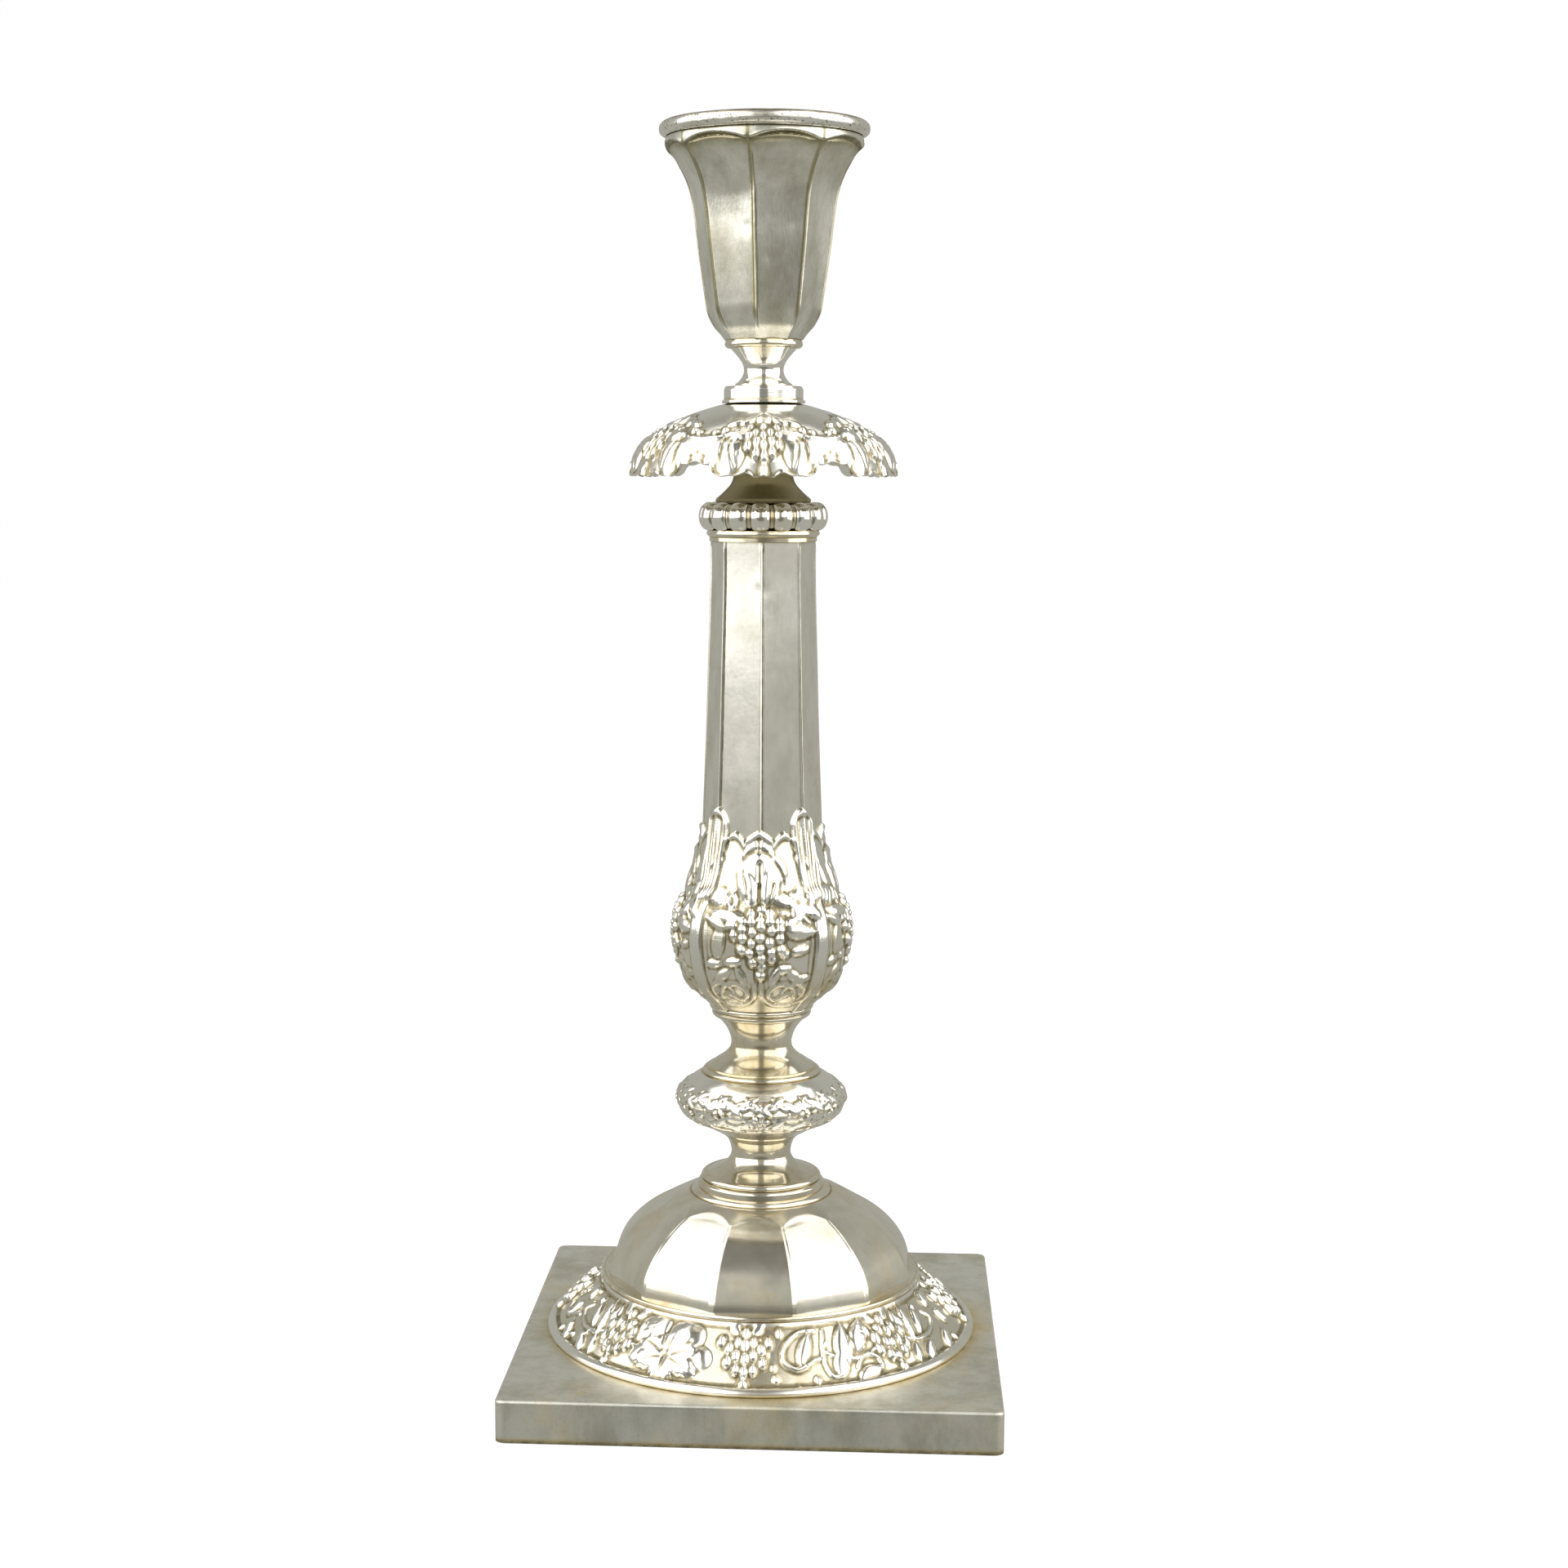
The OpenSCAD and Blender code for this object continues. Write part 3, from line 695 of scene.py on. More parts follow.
def make_materials():
    """Every finish of the metal, by the name that the pieces ask for."""
    return {
        "stamped": metal("stamped_silver", CLEAN, (0.61, 0.53, 0.34), SOIL_AND_SHADE, (0.13, 0.19), 0.02,
                         0.35, 1.1, 0.85),
        # the cup's dark olive tarnish colour also paints the shade under its arches and beside its
        # edges
        "cup": metal("cup_silver", (0.88, 0.86, 0.80), (0.46, 0.42, 0.27), SOIL_AND_SHADE, (0.15, 0.23),
                     0.04, 0.45, 1.2, 1.1, BRUSHED_UP, 0.07, 0.1, 0.55),
        "panel": metal("panel_silver", (0.88, 0.86, 0.80), (0.50, 0.455, 0.31), SOIL_AND_SHADE, (0.16, 0.24),
                       0.04, 0.45, 1.1, 1.0, BRUSHED_UP, 0.06, stain=0.25),
        "dome": metal("dome_silver", (0.88, 0.85, 0.77), (0.72, 0.60, 0.38), SOIL_AND_SHADE, (0.13, 0.20),
                      0.10, 0.6, 1.2, 0.8, BRUSHED_ROUND, 0.03, stain=0.25),
        "turned": metal("turned_silver", (0.88, 0.85, 0.77), OCHRE, SOIL_AND_SHADE, (0.08, 0.13),
                        0.25, 0.6, 1.0, 1.0, BRUSHED_ROUND, 0.02, stain=0.3),
        "bright": metal("bright_silver", CLEAN, OCHRE, SOIL_AND_SHADE, (0.08, 0.12), 0.04, 0.3, 1.1, 1.0,
                        BRUSHED_ROUND, 0.02),
        "plinth": metal("plinth_silver", (0.85, 0.835, 0.77), (0.70, 0.59, 0.35), SOIL_AND_SHADE,
                        (0.30, 0.42), 0.0, 0.6, 1.0, 0.85, BRUSHED_UP, 0.10, 0.10, 0.5),
        "dark": metal("dark_silver", (0.46, 0.41, 0.26), (0.29, 0.25, 0.13), SOIL_AND_SHADE, (0.28, 0.40),
                      0.3, 0.6, 0.8, 0.6),
        "rim": metal("rim_silver", CLEAN, (0.55, 0.50, 0.38), (0.12, 0.11, 0.09), (0.15, 0.24),
                     0.08, 0.5, 0.9, 0.9, BRUSHED_ROUND, 0.08, 0.8),
        "brass": metal("brass", (0.72, 0.58, 0.30), (0.48, 0.37, 0.18), SOIL_AND_SHADE, (0.28, 0.38)),
        "steel": metal("steel", (0.50, 0.50, 0.49), (0.34, 0.28, 0.22), SOIL_AND_SHADE, (0.30, 0.42)),
    }


# ---- plain turned pieces

def turned_piece(name, outline, body, material, hole, spacing):
    """A solid turned piece over its CAD node of the same name; its outline starts at z 0."""
    columns = 192
    line = resample(lifted(outline, low(name)), spacing)
    inside = join([line[-1] - (0.3, 0)], [(hole, line[-1, 1])], [(hole, line[0, 1])],
                  [line[0] - (0.3, 0)])
    return shell(name, [sweep(line, columns), sweep(inside, columns // 4)], body, [name],
                 material)


def make_turned(look):
    """Collars, spools, bands and beads between the stamped pieces. Each row gives a node, its
    finish, the radius of its hole and the spacing of its outline's points in mm."""
    socket = ("socket_flange", "socket_neck", "cup_base_ring")
    seam_r, wire_r = 41.1, 0.65
    seam = [(seam_r + wire_r + wire_r * math.cos(a), wire_r + wire_r * math.sin(a))
            for a in np.radians(np.arange(-90, 91, 15))]
    collar = join([(16.6, 0), (16.6, 1.5), (16.1, 2)],
                  smooth([(15.5, 2.2), (15.9, 2.8), (15.5, 3.5), (14.8, 3.7)]))
    lower_spool = smooth([(14.3, 0), (12.2, 0.9), (10.1, 2), (8.6, 3.5), (7.9, 5.2), (8.1, 7.2),
                          (8.9, 9.2), (10.2, 10.6), (10.8, 11.4)])
    knop_ring = smooth([(15.2, 0), (15.6, 0.5), (15.2, 1.1), (14.6, 1.3), (14.3, 1.8)])
    upper_spool = smooth([(14, 0), (12.1, 1.4), (9.9, 2.9), (8.4, 4.6), (8, 6.4), (8.4, 8.4),
                          (9.4, 10.5), (10.9, 12.4), (11.9, 13.4)])
    foot_band = join(smooth([(12.3, 0), (12.9, 0.5), (13.1, 1.2)]), [(12.8, 1.5), (12.8, 1.8)],
                     smooth([(13.3, 2), (13.7, 2.7), (13.4, 3.4)]))
    top_band = join([(13.9, 0), (13.9, 0.9)], smooth([(13.9, 1.1), (14.6, 1.8), (14.4, 2.8)]))
    cap = join([(12.1, 0), (12.4, 0.5), (12.1, 1.2)],
               smooth([(11.6, 1.5), (9.6, 3.4), (8.2, 5.2), (7.5, 8), (7.4, 12), (7.9, 16.5),
                       (8.8, 20.5), (9.7, 23)]), [(9.9, 23.5), (9.9, 24.4)])
    flange = join([(10.7, 0), (10.7, 0.6), (10.35, 0.75), (10.2, 1.0), (10.2, 3.4), (10.05, 3.7)],
                  [(9.8, 4.2)])
    neck = smooth([(7.1, 0), (7.4, 0.5), (6.3, 1.4), (5.3, 3), (5.1, 4.6), (5.8, 6.4),
                   (7.2, 8.2), (8.6, 9.7)])
    base_ring = smooth([(9.3, 0), (9.9, 0.5), (10, 1.2), (9.7, 2)])
    for name, finish, hole, spacing, outline in (
            ("dome_seam_ring", "turned", 39.4, 0.2, seam),
            ("dome_collar", "turned", 3.0, 0.2, collar),
            ("lower_spool", "turned", 3.0, 0.3, lower_spool),
            ("knop_ring", "turned", 3.0, 0.12, knop_ring),
            ("upper_spool", "turned", 3.0, 0.3, upper_spool),
            ("column_foot_band", "turned", 3.0, 0.12, foot_band),
            ("column_top_band", "turned", 9.0, 0.12, top_band),
            ("column_cap", "dark", 7.1, 0.3, cap),
            ("socket_flange", "bright", 4.0, 0.12, flange),
            ("socket_neck", "bright", 4.0, 0.3, neck),
            ("cup_base_ring", "turned", 2.0, 0.12, base_ring)):
        body = "socket" if name in socket else "candlestick"
        turned_piece(name, outline, body, look[finish], hole, spacing)


# ---- plinth

def rounded_square(half, corner, level, count):
    """A closed loop of points round a square with rounded corners, at even angles from the
    front left corner."""
    straight = half - corner
    quarter = [(math.cos(a), math.sin(a)) for a in np.radians(np.linspace(0, 90, 9))]
    points = []
    for k in range(4):
        c, s = math.cos(k * math.pi / 2), math.sin(k * math.pi / 2)
        for x, y in quarter:
            u, v = straight + corner * x, straight + corner * y
            points.append((c * u - s * v, s * u + c * v))
    points = np.array(points + points[:1])
    turns = np.unwrap(np.arctan2(points[:, 1], points[:, 0]))
    wanted = np.radians(-135 + 360 * np.arange(count) / count)
    wanted = (wanted - turns[0]) % (2 * math.pi) + turns[0]
    loop = np.column_stack([np.interp(wanted, turns, points[:, k]) for k in (0, 1)])
    return np.column_stack([loop, np.full(count, level)])


def make_plinth(look):
    """A folded sheet box, open underneath, with softened edges and a round hole under the foot."""
    count = 720
    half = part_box("plinth")[1].x / MM
    top = high("plinth")
    edge = 0.7
    hem = 3.0
    hole = 50.0
    foot = 57.0                  # radius of the frieze's foot
    rows = [rounded_square(half - hem, 1.2, 0.0, count), rounded_square(half - 0.5, 2, 0.0, count),
            rounded_square(half - 0.05, 2, 0.3, count)]
    rows += [rounded_square(half, 2, z, count) for z in np.linspace(0.8, top - edge, 14)]
    rows += [rounded_square(half - edge + edge * math.cos(a), 2, top - edge + edge * math.sin(a),
                            count) for a in np.radians([18, 36, 54, 72, 90])]
    square = rows[-1]
    turn = np.arctan2(square[:, 1], square[:, 0])
    circle = np.column_stack([hole * np.cos(turn), hole * np.sin(turn), np.full(count, top)])
    rows += [square + (circle - square) * share for share in np.linspace(0.03, 1, 30)]
    outside = np.array(rows)
    drop = (0, 0, SHEET)
    back = [circle - drop, square * (0.97, 0.97, 1) - drop,
            rounded_square(half - SHEET, 1.2, SHEET, count),
            rounded_square(half - hem, 1.2, SHEET, count)]
    piece = shell("plinth", [outside, np.array(back)], "candlestick", ["plinth"],
                  look["plinth"], recess=(0.6, 0.5), seam=0)
    # tarnish on the top beside the foot, and a dark line along the hem
    xyz = np.array([v.co for v in piece.data.vertices]) / MM
    reach = np.hypot(xyz[:, 0], xyz[:, 1])
    halo = 0.42 * np.exp(-np.clip(reach - foot, 0, None) / 4.5) * (xyz[:, 2] > top - 0.1)
    hem_line = bell(xyz[:, 2], 0, 1.3)
    layer = piece.data.attributes["recess"]
    layer.data.foreach_set("value", np.maximum(halo, hem_line))


# ---- frieze

def frieze_outline():
    """The bead at the foot and the hollow slope over it."""
    bead = smooth([(56.6, 0), (57, 0.8), (56.5, 1.7), (55.2, 2.2)])
    slope = smooth([(54.6, 2.6), (51.5, 6.2), (47.5, 10.2), (43.4, 13.3), (42.4, 14.2)])
    return join(bead, slope)


def vine_relief(r):
    """Vine leaves, tendrils and bunches of grapes; the pattern repeats after half a turn."""
    for angle in (-44, -1.7, 45, 88):
        r.grapes(angle, 18.4, 3.8, 15.0, 1.2, 1.6, 1.62, 0.14, 1.78)
        for side in (-1, 1):
            r.spray(r.pad, angle, side, [(3.5, 19.2, 40, 4.5, 2.6, 0.7)])
    # the broad leaf left of the front bunch
    for lobe in ((-32.5, 15.6, 100, 10.5, 11.0, 1.15), (-21.5, 15.2, 85, 11.0, 11.0, 1.35),
                 (-33.5, 9.0, -150, 7.5, 6.5, 1.05), (-15.5, 10.4, -30, 7.5, 6.5, 1.05)):
        r.pad(*lobe, 0.7)
    r.leaf(-25.0, 9.6, -92, 14.5, 21.0, 1.45, 6, 0.26)
    r.groove([(-27.6, 19), (-27.0, 14), (-26.4, 11)], 0.9, 0.45)
    r.groove([(-18.6, 14.2), (-21.6, 12.0), (-25.0, 10.6)], 0.6, 0.25)
    r.groove([(-34.5, 12.6), (-30.6, 11.8), (-26.6, 10.8)], 0.6, 0.25)
    # the curled tendril right of it, and the leaf before the next bunch
    r.berry(9, 18.4, 0.9, 0.9, 1.6)
    r.ridge([(20.5, 18.6), (14.5, 18.0), (10, 14.2), (9.4, 10.4), (12.5, 8.0), (15.5, 8.6)],
            1.7, 1.1, (0.5, 1.0))
    r.ridge([(23.4, 18.5), (21.6, 13.2), (21.4, 8.4), (23, 5.4), (26.2, 5.8)], 1.1, 0.8, (0.6, 1))
    r.ridge([(15.5, 8.6), (18.5, 10.2), (21.4, 10.6)], 0.8, 0.6)
    for blade in ((16.2, 13.6, 68, 11, 3.6, 1.15), (28.5, 13.6, 78, 13, 5.2, 1.3),
                  (34.6, 15.4, 64, 10.5, 5.0, 1.3), (26.4, 9.0, 75, 9, 4.2, 1.2)):
        r.drop(*blade)
    r.groove([(31.4, 18.5), (30.4, 14), (28, 9)], 0.7, 0.35)
    r.drop(34.2, 4.8, 15, 8.5, 4.2, 1.2)
    r.ridge([(30.4, 6.6), (33.4, 9.4), (37.4, 8.8), (38.2, 5.8)], 1.3, 0.95, (0.5, 1))
    for angle, up, size in ((13, 3.4, 0.6), (18.4, 4.8, 0.95), (7, 5.6, 0.8), (6.4, 8.6, 0.55)):
        r.berry(angle, up, size, size * 0.9, 1.3)
    # the sprays towards both sides
    for side, shift in ((-1, 0), (1, 0.5)):
        r.spray(r.drop, shift, side, [(55, 14.8, 14, 10.5, 3.6, 1.15), (51, 15.6, 8, 8.5, 3.0, 1.0),
                                      (60, 14.2, 24, 8, 2.6, 0.9)])
        for k in range(5):
            up = 12 + k * 1.5
            r.groove(sided(shift, side, (53.5, up), (57, up + 1.1)), 0.35, 0.22)
        r.ridge(sided(0, side, (50, 11.5), (56, 9.4), (63, 9.8), (68, 12.6), (66, 15.2)),
                0.9, 0.75, (1, 0.6))
        r.spray(r.drop, 0, side, [(58, 5.4, 38, 7.5, 3.6, 1.15), (68, 5.2, 32, 7.5, 3.4, 1.1),
                                  (52.5, 6.4, 20, 6, 2.6, 0.9)])
        r.spray(r.pad, 0, side, [(73, 17.6, 30, 5.5, 3.0, 0.95), (74.5, 10.8, -20, 5.0, 2.8, 0.9)])
        r.berry(side * 63.5, 17.6, 0.9, 0.85, 1.3)
        r.berry(side * 73, 4.4, 0.9, 0.85, 1.3)
    ground = np.clip((r.up - 3.2) / 0.8, 0, 1) * np.clip((20.6 - r.up) / 0.8, 0, 1)
    r.height = (r.height - 0.75) * ground


def make_frieze(look):
    """The stamped band on the plinth, with its flange under the dome."""
    columns = 1152
    base = low("vine_frieze")
    line = lifted(resample(frieze_outline(), 0.31), base)
    relief = Relief(line, columns, 180)
    vine_relief(relief)
    outside = sweep(line, columns, height=relief.full(1), start=relief.start)
    flange_r = 37.1
    top = line[-1, 1]
    flange = sweep(join([(41.9, top)], [(flange_r, top)], [(flange_r, top - SHEET)]),
                   columns // 4, relief.start)
    plain = lifted(resample(frieze_outline(), 1.0), base)
    inner = inset(plain, SHEET + 0.7)
    inner[0] = (55.8, line[0, 1])
    inner[-1] = (41.2, top - SHEET)
    back = sweep(inner[::-1], columns // 4, relief.start)
    frieze = shell("vine_frieze", [outside, flange, back], "candlestick", ["vine_frieze"],
                   look["stamped"], recess=(0.95, 0.2), sharp=180)
    add_wear_and_shade(frieze, 0.30 * smoothstep(-relief.full(), 0.3, 0.7))


# ---- dome

def make_dome(look):
    """Twelve flat gores under a round crown. Each gore ends in a low arch."""
    columns = 720
    gores = 12
    first = 180 / gores
    foot_r, rise = 41.1, 25.3
    crown_r, crown_h = 18.6, 23.7
    end = math.acos(crown_r / foot_r)
    arc = [(foot_r * math.cos(a), rise * math.sin(a)) for a in np.linspace(0, end, 40)]
    crown = smooth([(crown_r, 22.4), (crown_r - 0.5, 23.2), (crown_r - 2, crown_h)])
    line = lifted(resample(join(arc[:-1], crown), 0.42), low("dome"))
    angles = bearings(columns)
    up = lengths(line)[:, None]
    share = panel_share(angles, gores, first)[None, :]
    arch = 30.4 - 4.6 * share ** 2
    flat = 1 - smoothstep(up, arch - 3.0 * (1 - share ** 2) - 0.6, arch + 0.6)
    factor = 1 + (polygon_factor(angles, gores, first)[None, :] - 1) * flat
    away = np.abs(share) - 1
    seam = -0.10 * bell(away, 0, 0.03) * flat
    outside = sweep(line, columns, factor=factor, height=seam)
    top = line[-1, 1]
    crown_disc = sweep(join([(9.0, top)], [(3.0, top)], [(3.0, top - SHEET)],
                            [(9.0, top - SHEET)]), columns // 10)
    plain = resample(line, 1.5)
    inner = inset(plain, SHEET)
    inner[0] = (foot_r - SHEET, line[0, 1])
    inner[-1] = (crown_r - 3, top - SHEET)
    inner_columns = columns // 5
    inner_angles = bearings(inner_columns)
    fade = 1 - smoothstep(lengths(plain)[:, None], 24, 30)
    inner_factor = 1 + (polygon_factor(inner_angles, gores, first)[None, :] - 1) * fade
    back = sweep(inner[::-1], inner_columns, factor=inner_factor[::-1])
    shell("dome", [outside, sweep(join([(15.0, top)]), inner_columns), crown_disc, back],
          "candlestick", ["dome"], look["dome"], recess=(1.6, 0.30))


# ---- knop

def small_flower(r, angle, up, size, height):
    """Six round petals about a bead."""
    for turn in range(15, 375, 60):
        away = 1.5 * size
        across = math.degrees(away * math.cos(math.radians(turn)) / 22)
        r.pad(angle + across, up + away * math.sin(math.radians(turn)), turn,
              2.0 * size, 1.3 * size, height)
    r.berry(angle, up, 0.6 * size, height * 1.1)


def knop_relief(r, equator):
    """A low waving stem with small leaves over the widest place, and flowers between."""
    for level, rise in ((2.6, 1.0), (-3.6, 0.7)):
        wave = [(-30 + 10 * k, equator + level + rise * (-1) ** k) for k in range(7)]
        r.ridge(wave, 0.7, 0.4)
        for k in range(6):
            side = (-1) ** k
            middle = -25 + 10 * k
            up = equator + level + 1.5 * side
            r.drop(middle, up, 90 - side * 55, 4.6, 2.0, 0.42)
            r.drop(middle + 4.4, up - 1.0 * side, 90 + side * 60, 3.0, 1.2, 0.34)
            r.berry(middle - 3.2, up + 0.9 * side, 0.45, 0.36)
    small_flower(r, 2.0, equator - 2.2, 1.05, 0.6)
    small_flower(r, 32.0, equator + 1.4, 1.2, 0.55)
    r.ridge([(-30, equator - 6.4), (-10, equator - 6.8), (10, equator - 6.8),
             (30, equator - 6.4)], 0.45, 0.28)
    r.height = r.height - 0.25 * smoothstep(r.up, 2.5, 6) * (1 - smoothstep(r.up, 20, 23))


def make_knop(look):
    """Two stamped shells that meet at the widest place, with one relief running over both."""
    columns = 720
    lower = smooth([(11.6, 0), (14.3, 1.5), (17.7, 2.9), (20.5, 4.8), (22, 6.9), (22.6, 9)])
    upper = smooth([(22.6, 0), (21.9, 2.3), (19.9, 4.3), (17.4, 5.9), (15.8, 6.8)])
    lower = lifted(resample(lower, 0.27), low("knop_lower_half"))
    upper = lifted(resample(upper, 0.27), low("knop_upper_half"))
    whole = join(lower, upper[1:])
    relief = Relief(whole, columns, 60)
    equator = lengths(lower)[-1]
    knop_relief(relief, equator)
    height = relief.full(1)
    count = len(lower)
    whole_grid = sweep(whole, columns, relief.start, height=height)
    halves = (("knop_lower_half", whole_grid[:count], lower, 0),
              ("knop_upper_half", whole_grid[count - 1:], upper, -1))
    for name, outside, line, hub in halves:
        inner = resample(line, 1.2)
        inner = inset(inner, SHEET) - (0.3, 0)
        inner[0, 1], inner[-1, 1] = line[0, 1], line[-1, 1]
        back = sweep(inner[::-1], columns // 4, relief.start)
        level = line[hub, 1]
        under = level + SHEET * (1 if hub == 0 else -1)
        reach = inner[hub, 0] - 0.4
        web = sweep(join([(3.0, level)], [(3.0, under)], [(reach, under)]), columns // 12,
                    relief.start)
        if hub == 0:
            loops = [outside, back[:-1], web[::-1]]
        else:
            loops = [outside, web, back[1:]]
        shell(name, loops, "candlestick", [name], look["stamped"], recess=(0.9, 0.16),
              sharp=70)


# ---- column

def lancet_leaf(r, angle):
    """A tall arched leaf over a panel's edge with a rolled rim, on a flat band with three
    fine ribs that runs down to the foot."""
    dx, _ = r.offset(angle, 0)
    up = r.up
    half = 2.2 + 1.4 * smoothstep(up, 34, 54)
    arch = 60.4 - 4.2 * np.clip(np.abs(dx) / 3.6, 0, 1) ** 2.4
    edge = np.minimum(half - np.abs(dx), arch - up)
    tall = smoothstep(up, 40, 52)
    r.height = np.maximum(r.height, smoothstep(edge, 0, 0.6) * (0.55 + 0.55 * tall))
    rim = bell(edge, 0.7, 0.45)
    hollow = smoothstep(edge, 1.2, 2.2)
    r.height = r.height + tall * (0.5 * rim - 0.35 * hollow) + 0.14 * rim * (1 - tall)
    fade = smoothstep(up, 6, 12) * (1 - smoothstep(up, 51, 57))
    for offset in (-0.75, 0, 0.75):
        spread = offset * (1 + 0.7 * smoothstep(up, 36, 54))
        line = bell(dx, spread, 0.28)
        r.height = r.height + 0.24 * line * fade
        groove = bell(dx - spread, 0.42, 0.2)
        r.height = r.height - 0.14 * groove * fade
    beside = bell(half - np.abs(dx), -0.35, 0.35) * (up < arch + 0.4)
    r.height = r.height - 0.3 * beside * smoothstep(up, 6, 12)


def panel_top(r):
    """The raised panel's upper edge: a pointed arch between two round lobes, rolled over."""
    turn = r.angle
    ogee = 52.4 + 2.6 * np.clip(1 - (np.abs(turn) / 15) ** 1.35, 0, 1)
    side = 54.4 - 3.6 * ((np.abs(turn) - 25) / 13) ** 2
    top = np.where(np.abs(turn) < 13.2, ogee, side)
    edge = top - r.up
    sheet = smoothstep(edge, 0.0, 0.6)
    rim = bell(edge, 0.8, 0.6)
    hollow = bell(edge, 2.4, 1.0) * (np.abs(turn) > 12)
    r.add(sheet * (0.8 + 0.4 * rim - 0.25 * hollow) * smoothstep(r.up, 26, 46))
    cusp = bell(r.offset(0, 0)[0], 0, 0.35 + 0.55 * smoothstep(r.up, 50, 53.2))
    spade = smoothstep(r.up, 48.6, 50) * (1 - smoothstep(r.up, ogee - 1.4, ogee - 0.7))
    r.height = r.height - 0.6 * cusp * spade


def bulb_relief(r):
    """Fan flower, drops, thorny leaves, grapes and scrolls of one panel; four panels round."""
    panel_top(r)
    # fan flower with its hanging drops
    fan = r.region(4.5, 44.6, -10, 12.5, 9.0) * smoothstep(r.up, 40.4, 41.6)
    r.add(1.25 * np.clip(fan * 1.5, 0, 1))
    r.groove([(-14, 47.6), (-4, 49.8), (4, 49.6), (12, 47.4), (18, 44.4), (21, 41.4)], 0.6, 0.5)
    r.pad(-9.0, 41.0, 104, 13.0, 6.4, 1.6, 0.6)
    r.drop(6.4, 40.6, 84, 10.0, 4.0, 1.7)
    r.drop(12.6, 39.4, 70, 7.0, 2.6, 1.5)
    r.groove([(0.6, 46.5), (0.9, 41), (0.3, 36.5)], 0.9, 0.6)
    r.groove([(-13, 45), (-9.6, 41), (-7.6, 36.5)], 0.5, 0.35)
    # thorny leaf with a curled eye, left
    for blade in ((-31, 37.4, 172, 14.0, 5.6, 1.4), (-23, 42.0, 118, 10.0, 4.8, 1.1),
                  (-22, 32.6, 172, 11.0, 4.4, 1.25), (-29.5, 30.6, 158, 8.0, 3.0, 1.0)):
        r.drop(*blade)
    r.ridge([(-21.6, 36.4), (-20.0, 38.2), (-17.0, 37.4), (-17.0, 35.2), (-19.8, 34.8),
             (-22.6, 36.2)], 0.95, 1.6)
    r.berry(-19.4, 36.4, 0.6, 1.45)
    for k in range(4):
        r.groove([(-39 + 4.5 * k, 35.4), (-36 + 4.5 * k, 38.6)], 0.4, 0.25)
    # star leaf and its lower lobe, right
    for turn, long in ((12, 9.0), (62, 7.0), (-38, 9.0), (168, 9.5), (-100, 7.0)):
        away = 0.40 * long
        across = math.degrees(away * math.cos(math.radians(turn)) / 22)
        r.drop(30 + across, 36 + away * math.sin(math.radians(turn)), turn, long, 4.4, 1.3)
    r.groove([(20, 39.2), (30, 36.2), (40, 39)], 0.4, 0.3)
    r.drop(28.5, 28.6, -8, 10.0, 4.6, 1.2)
    r.drop(23.0, 31.2, 20, 6.5, 2.8, 1.1)
    r.ridge([(16, 34.0), (22, 33.4), (30, 32.4), (36, 30.4)], 0.9, 1.15, (0.6, 1))
    # grapes with loose berries and small leaves
    r.grapes(2.6, 34.4, 16.6, 15.5, 1.42, 1.75, 1.0, 0.22, 1.75)
    r.berry(-15.5, 27.6, 1.5, 1.4)
    r.berry(-19.5, 30.0, 1.1, 1.1)
    r.berry(17.6, 22.6, 1.4, 1.1, 0.8)
    for angle, up, long in ((18, 18.4, 5.0), (29, 23.2, 5.5), (-16.5, 20.2, 5.0), (-31, 19.4, 5.0),
                            (32, 15.4, 4.5)):
        r.drop(angle, up, 8, long, 2.2, 0.75)
    # stippled patch, then the scrolls at the foot
    patch = r.region(-27, 25.5, 80, 9.5, 4.0)
    r.add(0.4 * patch)
    r.stipple(patch, 0.6, 0.2)
    for side in (-1, 1):
        r.ridge(sided(0, side, (30, 9), (25, 13.2), (15, 14.2), (8, 11.6), (12, 8.6),
                      (18, 10.2)), 1.5, 0.75, (0.5, 1))
        r.ridge(sided(0, side, (31, 6.8), (20, 5.6), (10, 6.6), (4, 9.4), (2, 14.6)),
                1.1, 0.6, (0.6, 1))
        r.spray(r.drop, 0, side, [(25, 16.4, -50, 6.5, 2.6, 0.65), (12, 16.6, 24, 6.0, 2.2, 0.6),
                                  (20, 10.4, 60, 5.0, 2.0, 0.55)])
    r.groove([(0, 15), (0, 7)], 0.7, 0.25)
    fan_dots = r.region(6.5, 45.4, -10, 10.5, 6.0) * smoothstep(r.up, 42.4, 43.4)
    r.stipple(fan_dots, 0.6, 0.14)
    lancet_leaf(r, 45)
    r.height = r.height * (0.7 + 0.3 * smoothstep(r.up, 12, 26))
    ground = smoothstep(r.up, 9, 20) * (1 - smoothstep(r.up, 34, 47))
    band = smoothstep(np.abs(r.angle), 36.0, 38.5)
    r.height = r.height - (0.85 - 0.55 * band) * ground


BULB_H = 50.6                 # mm, where the bulb's outline meets the shaft's
SHAFT_SIDES = 8


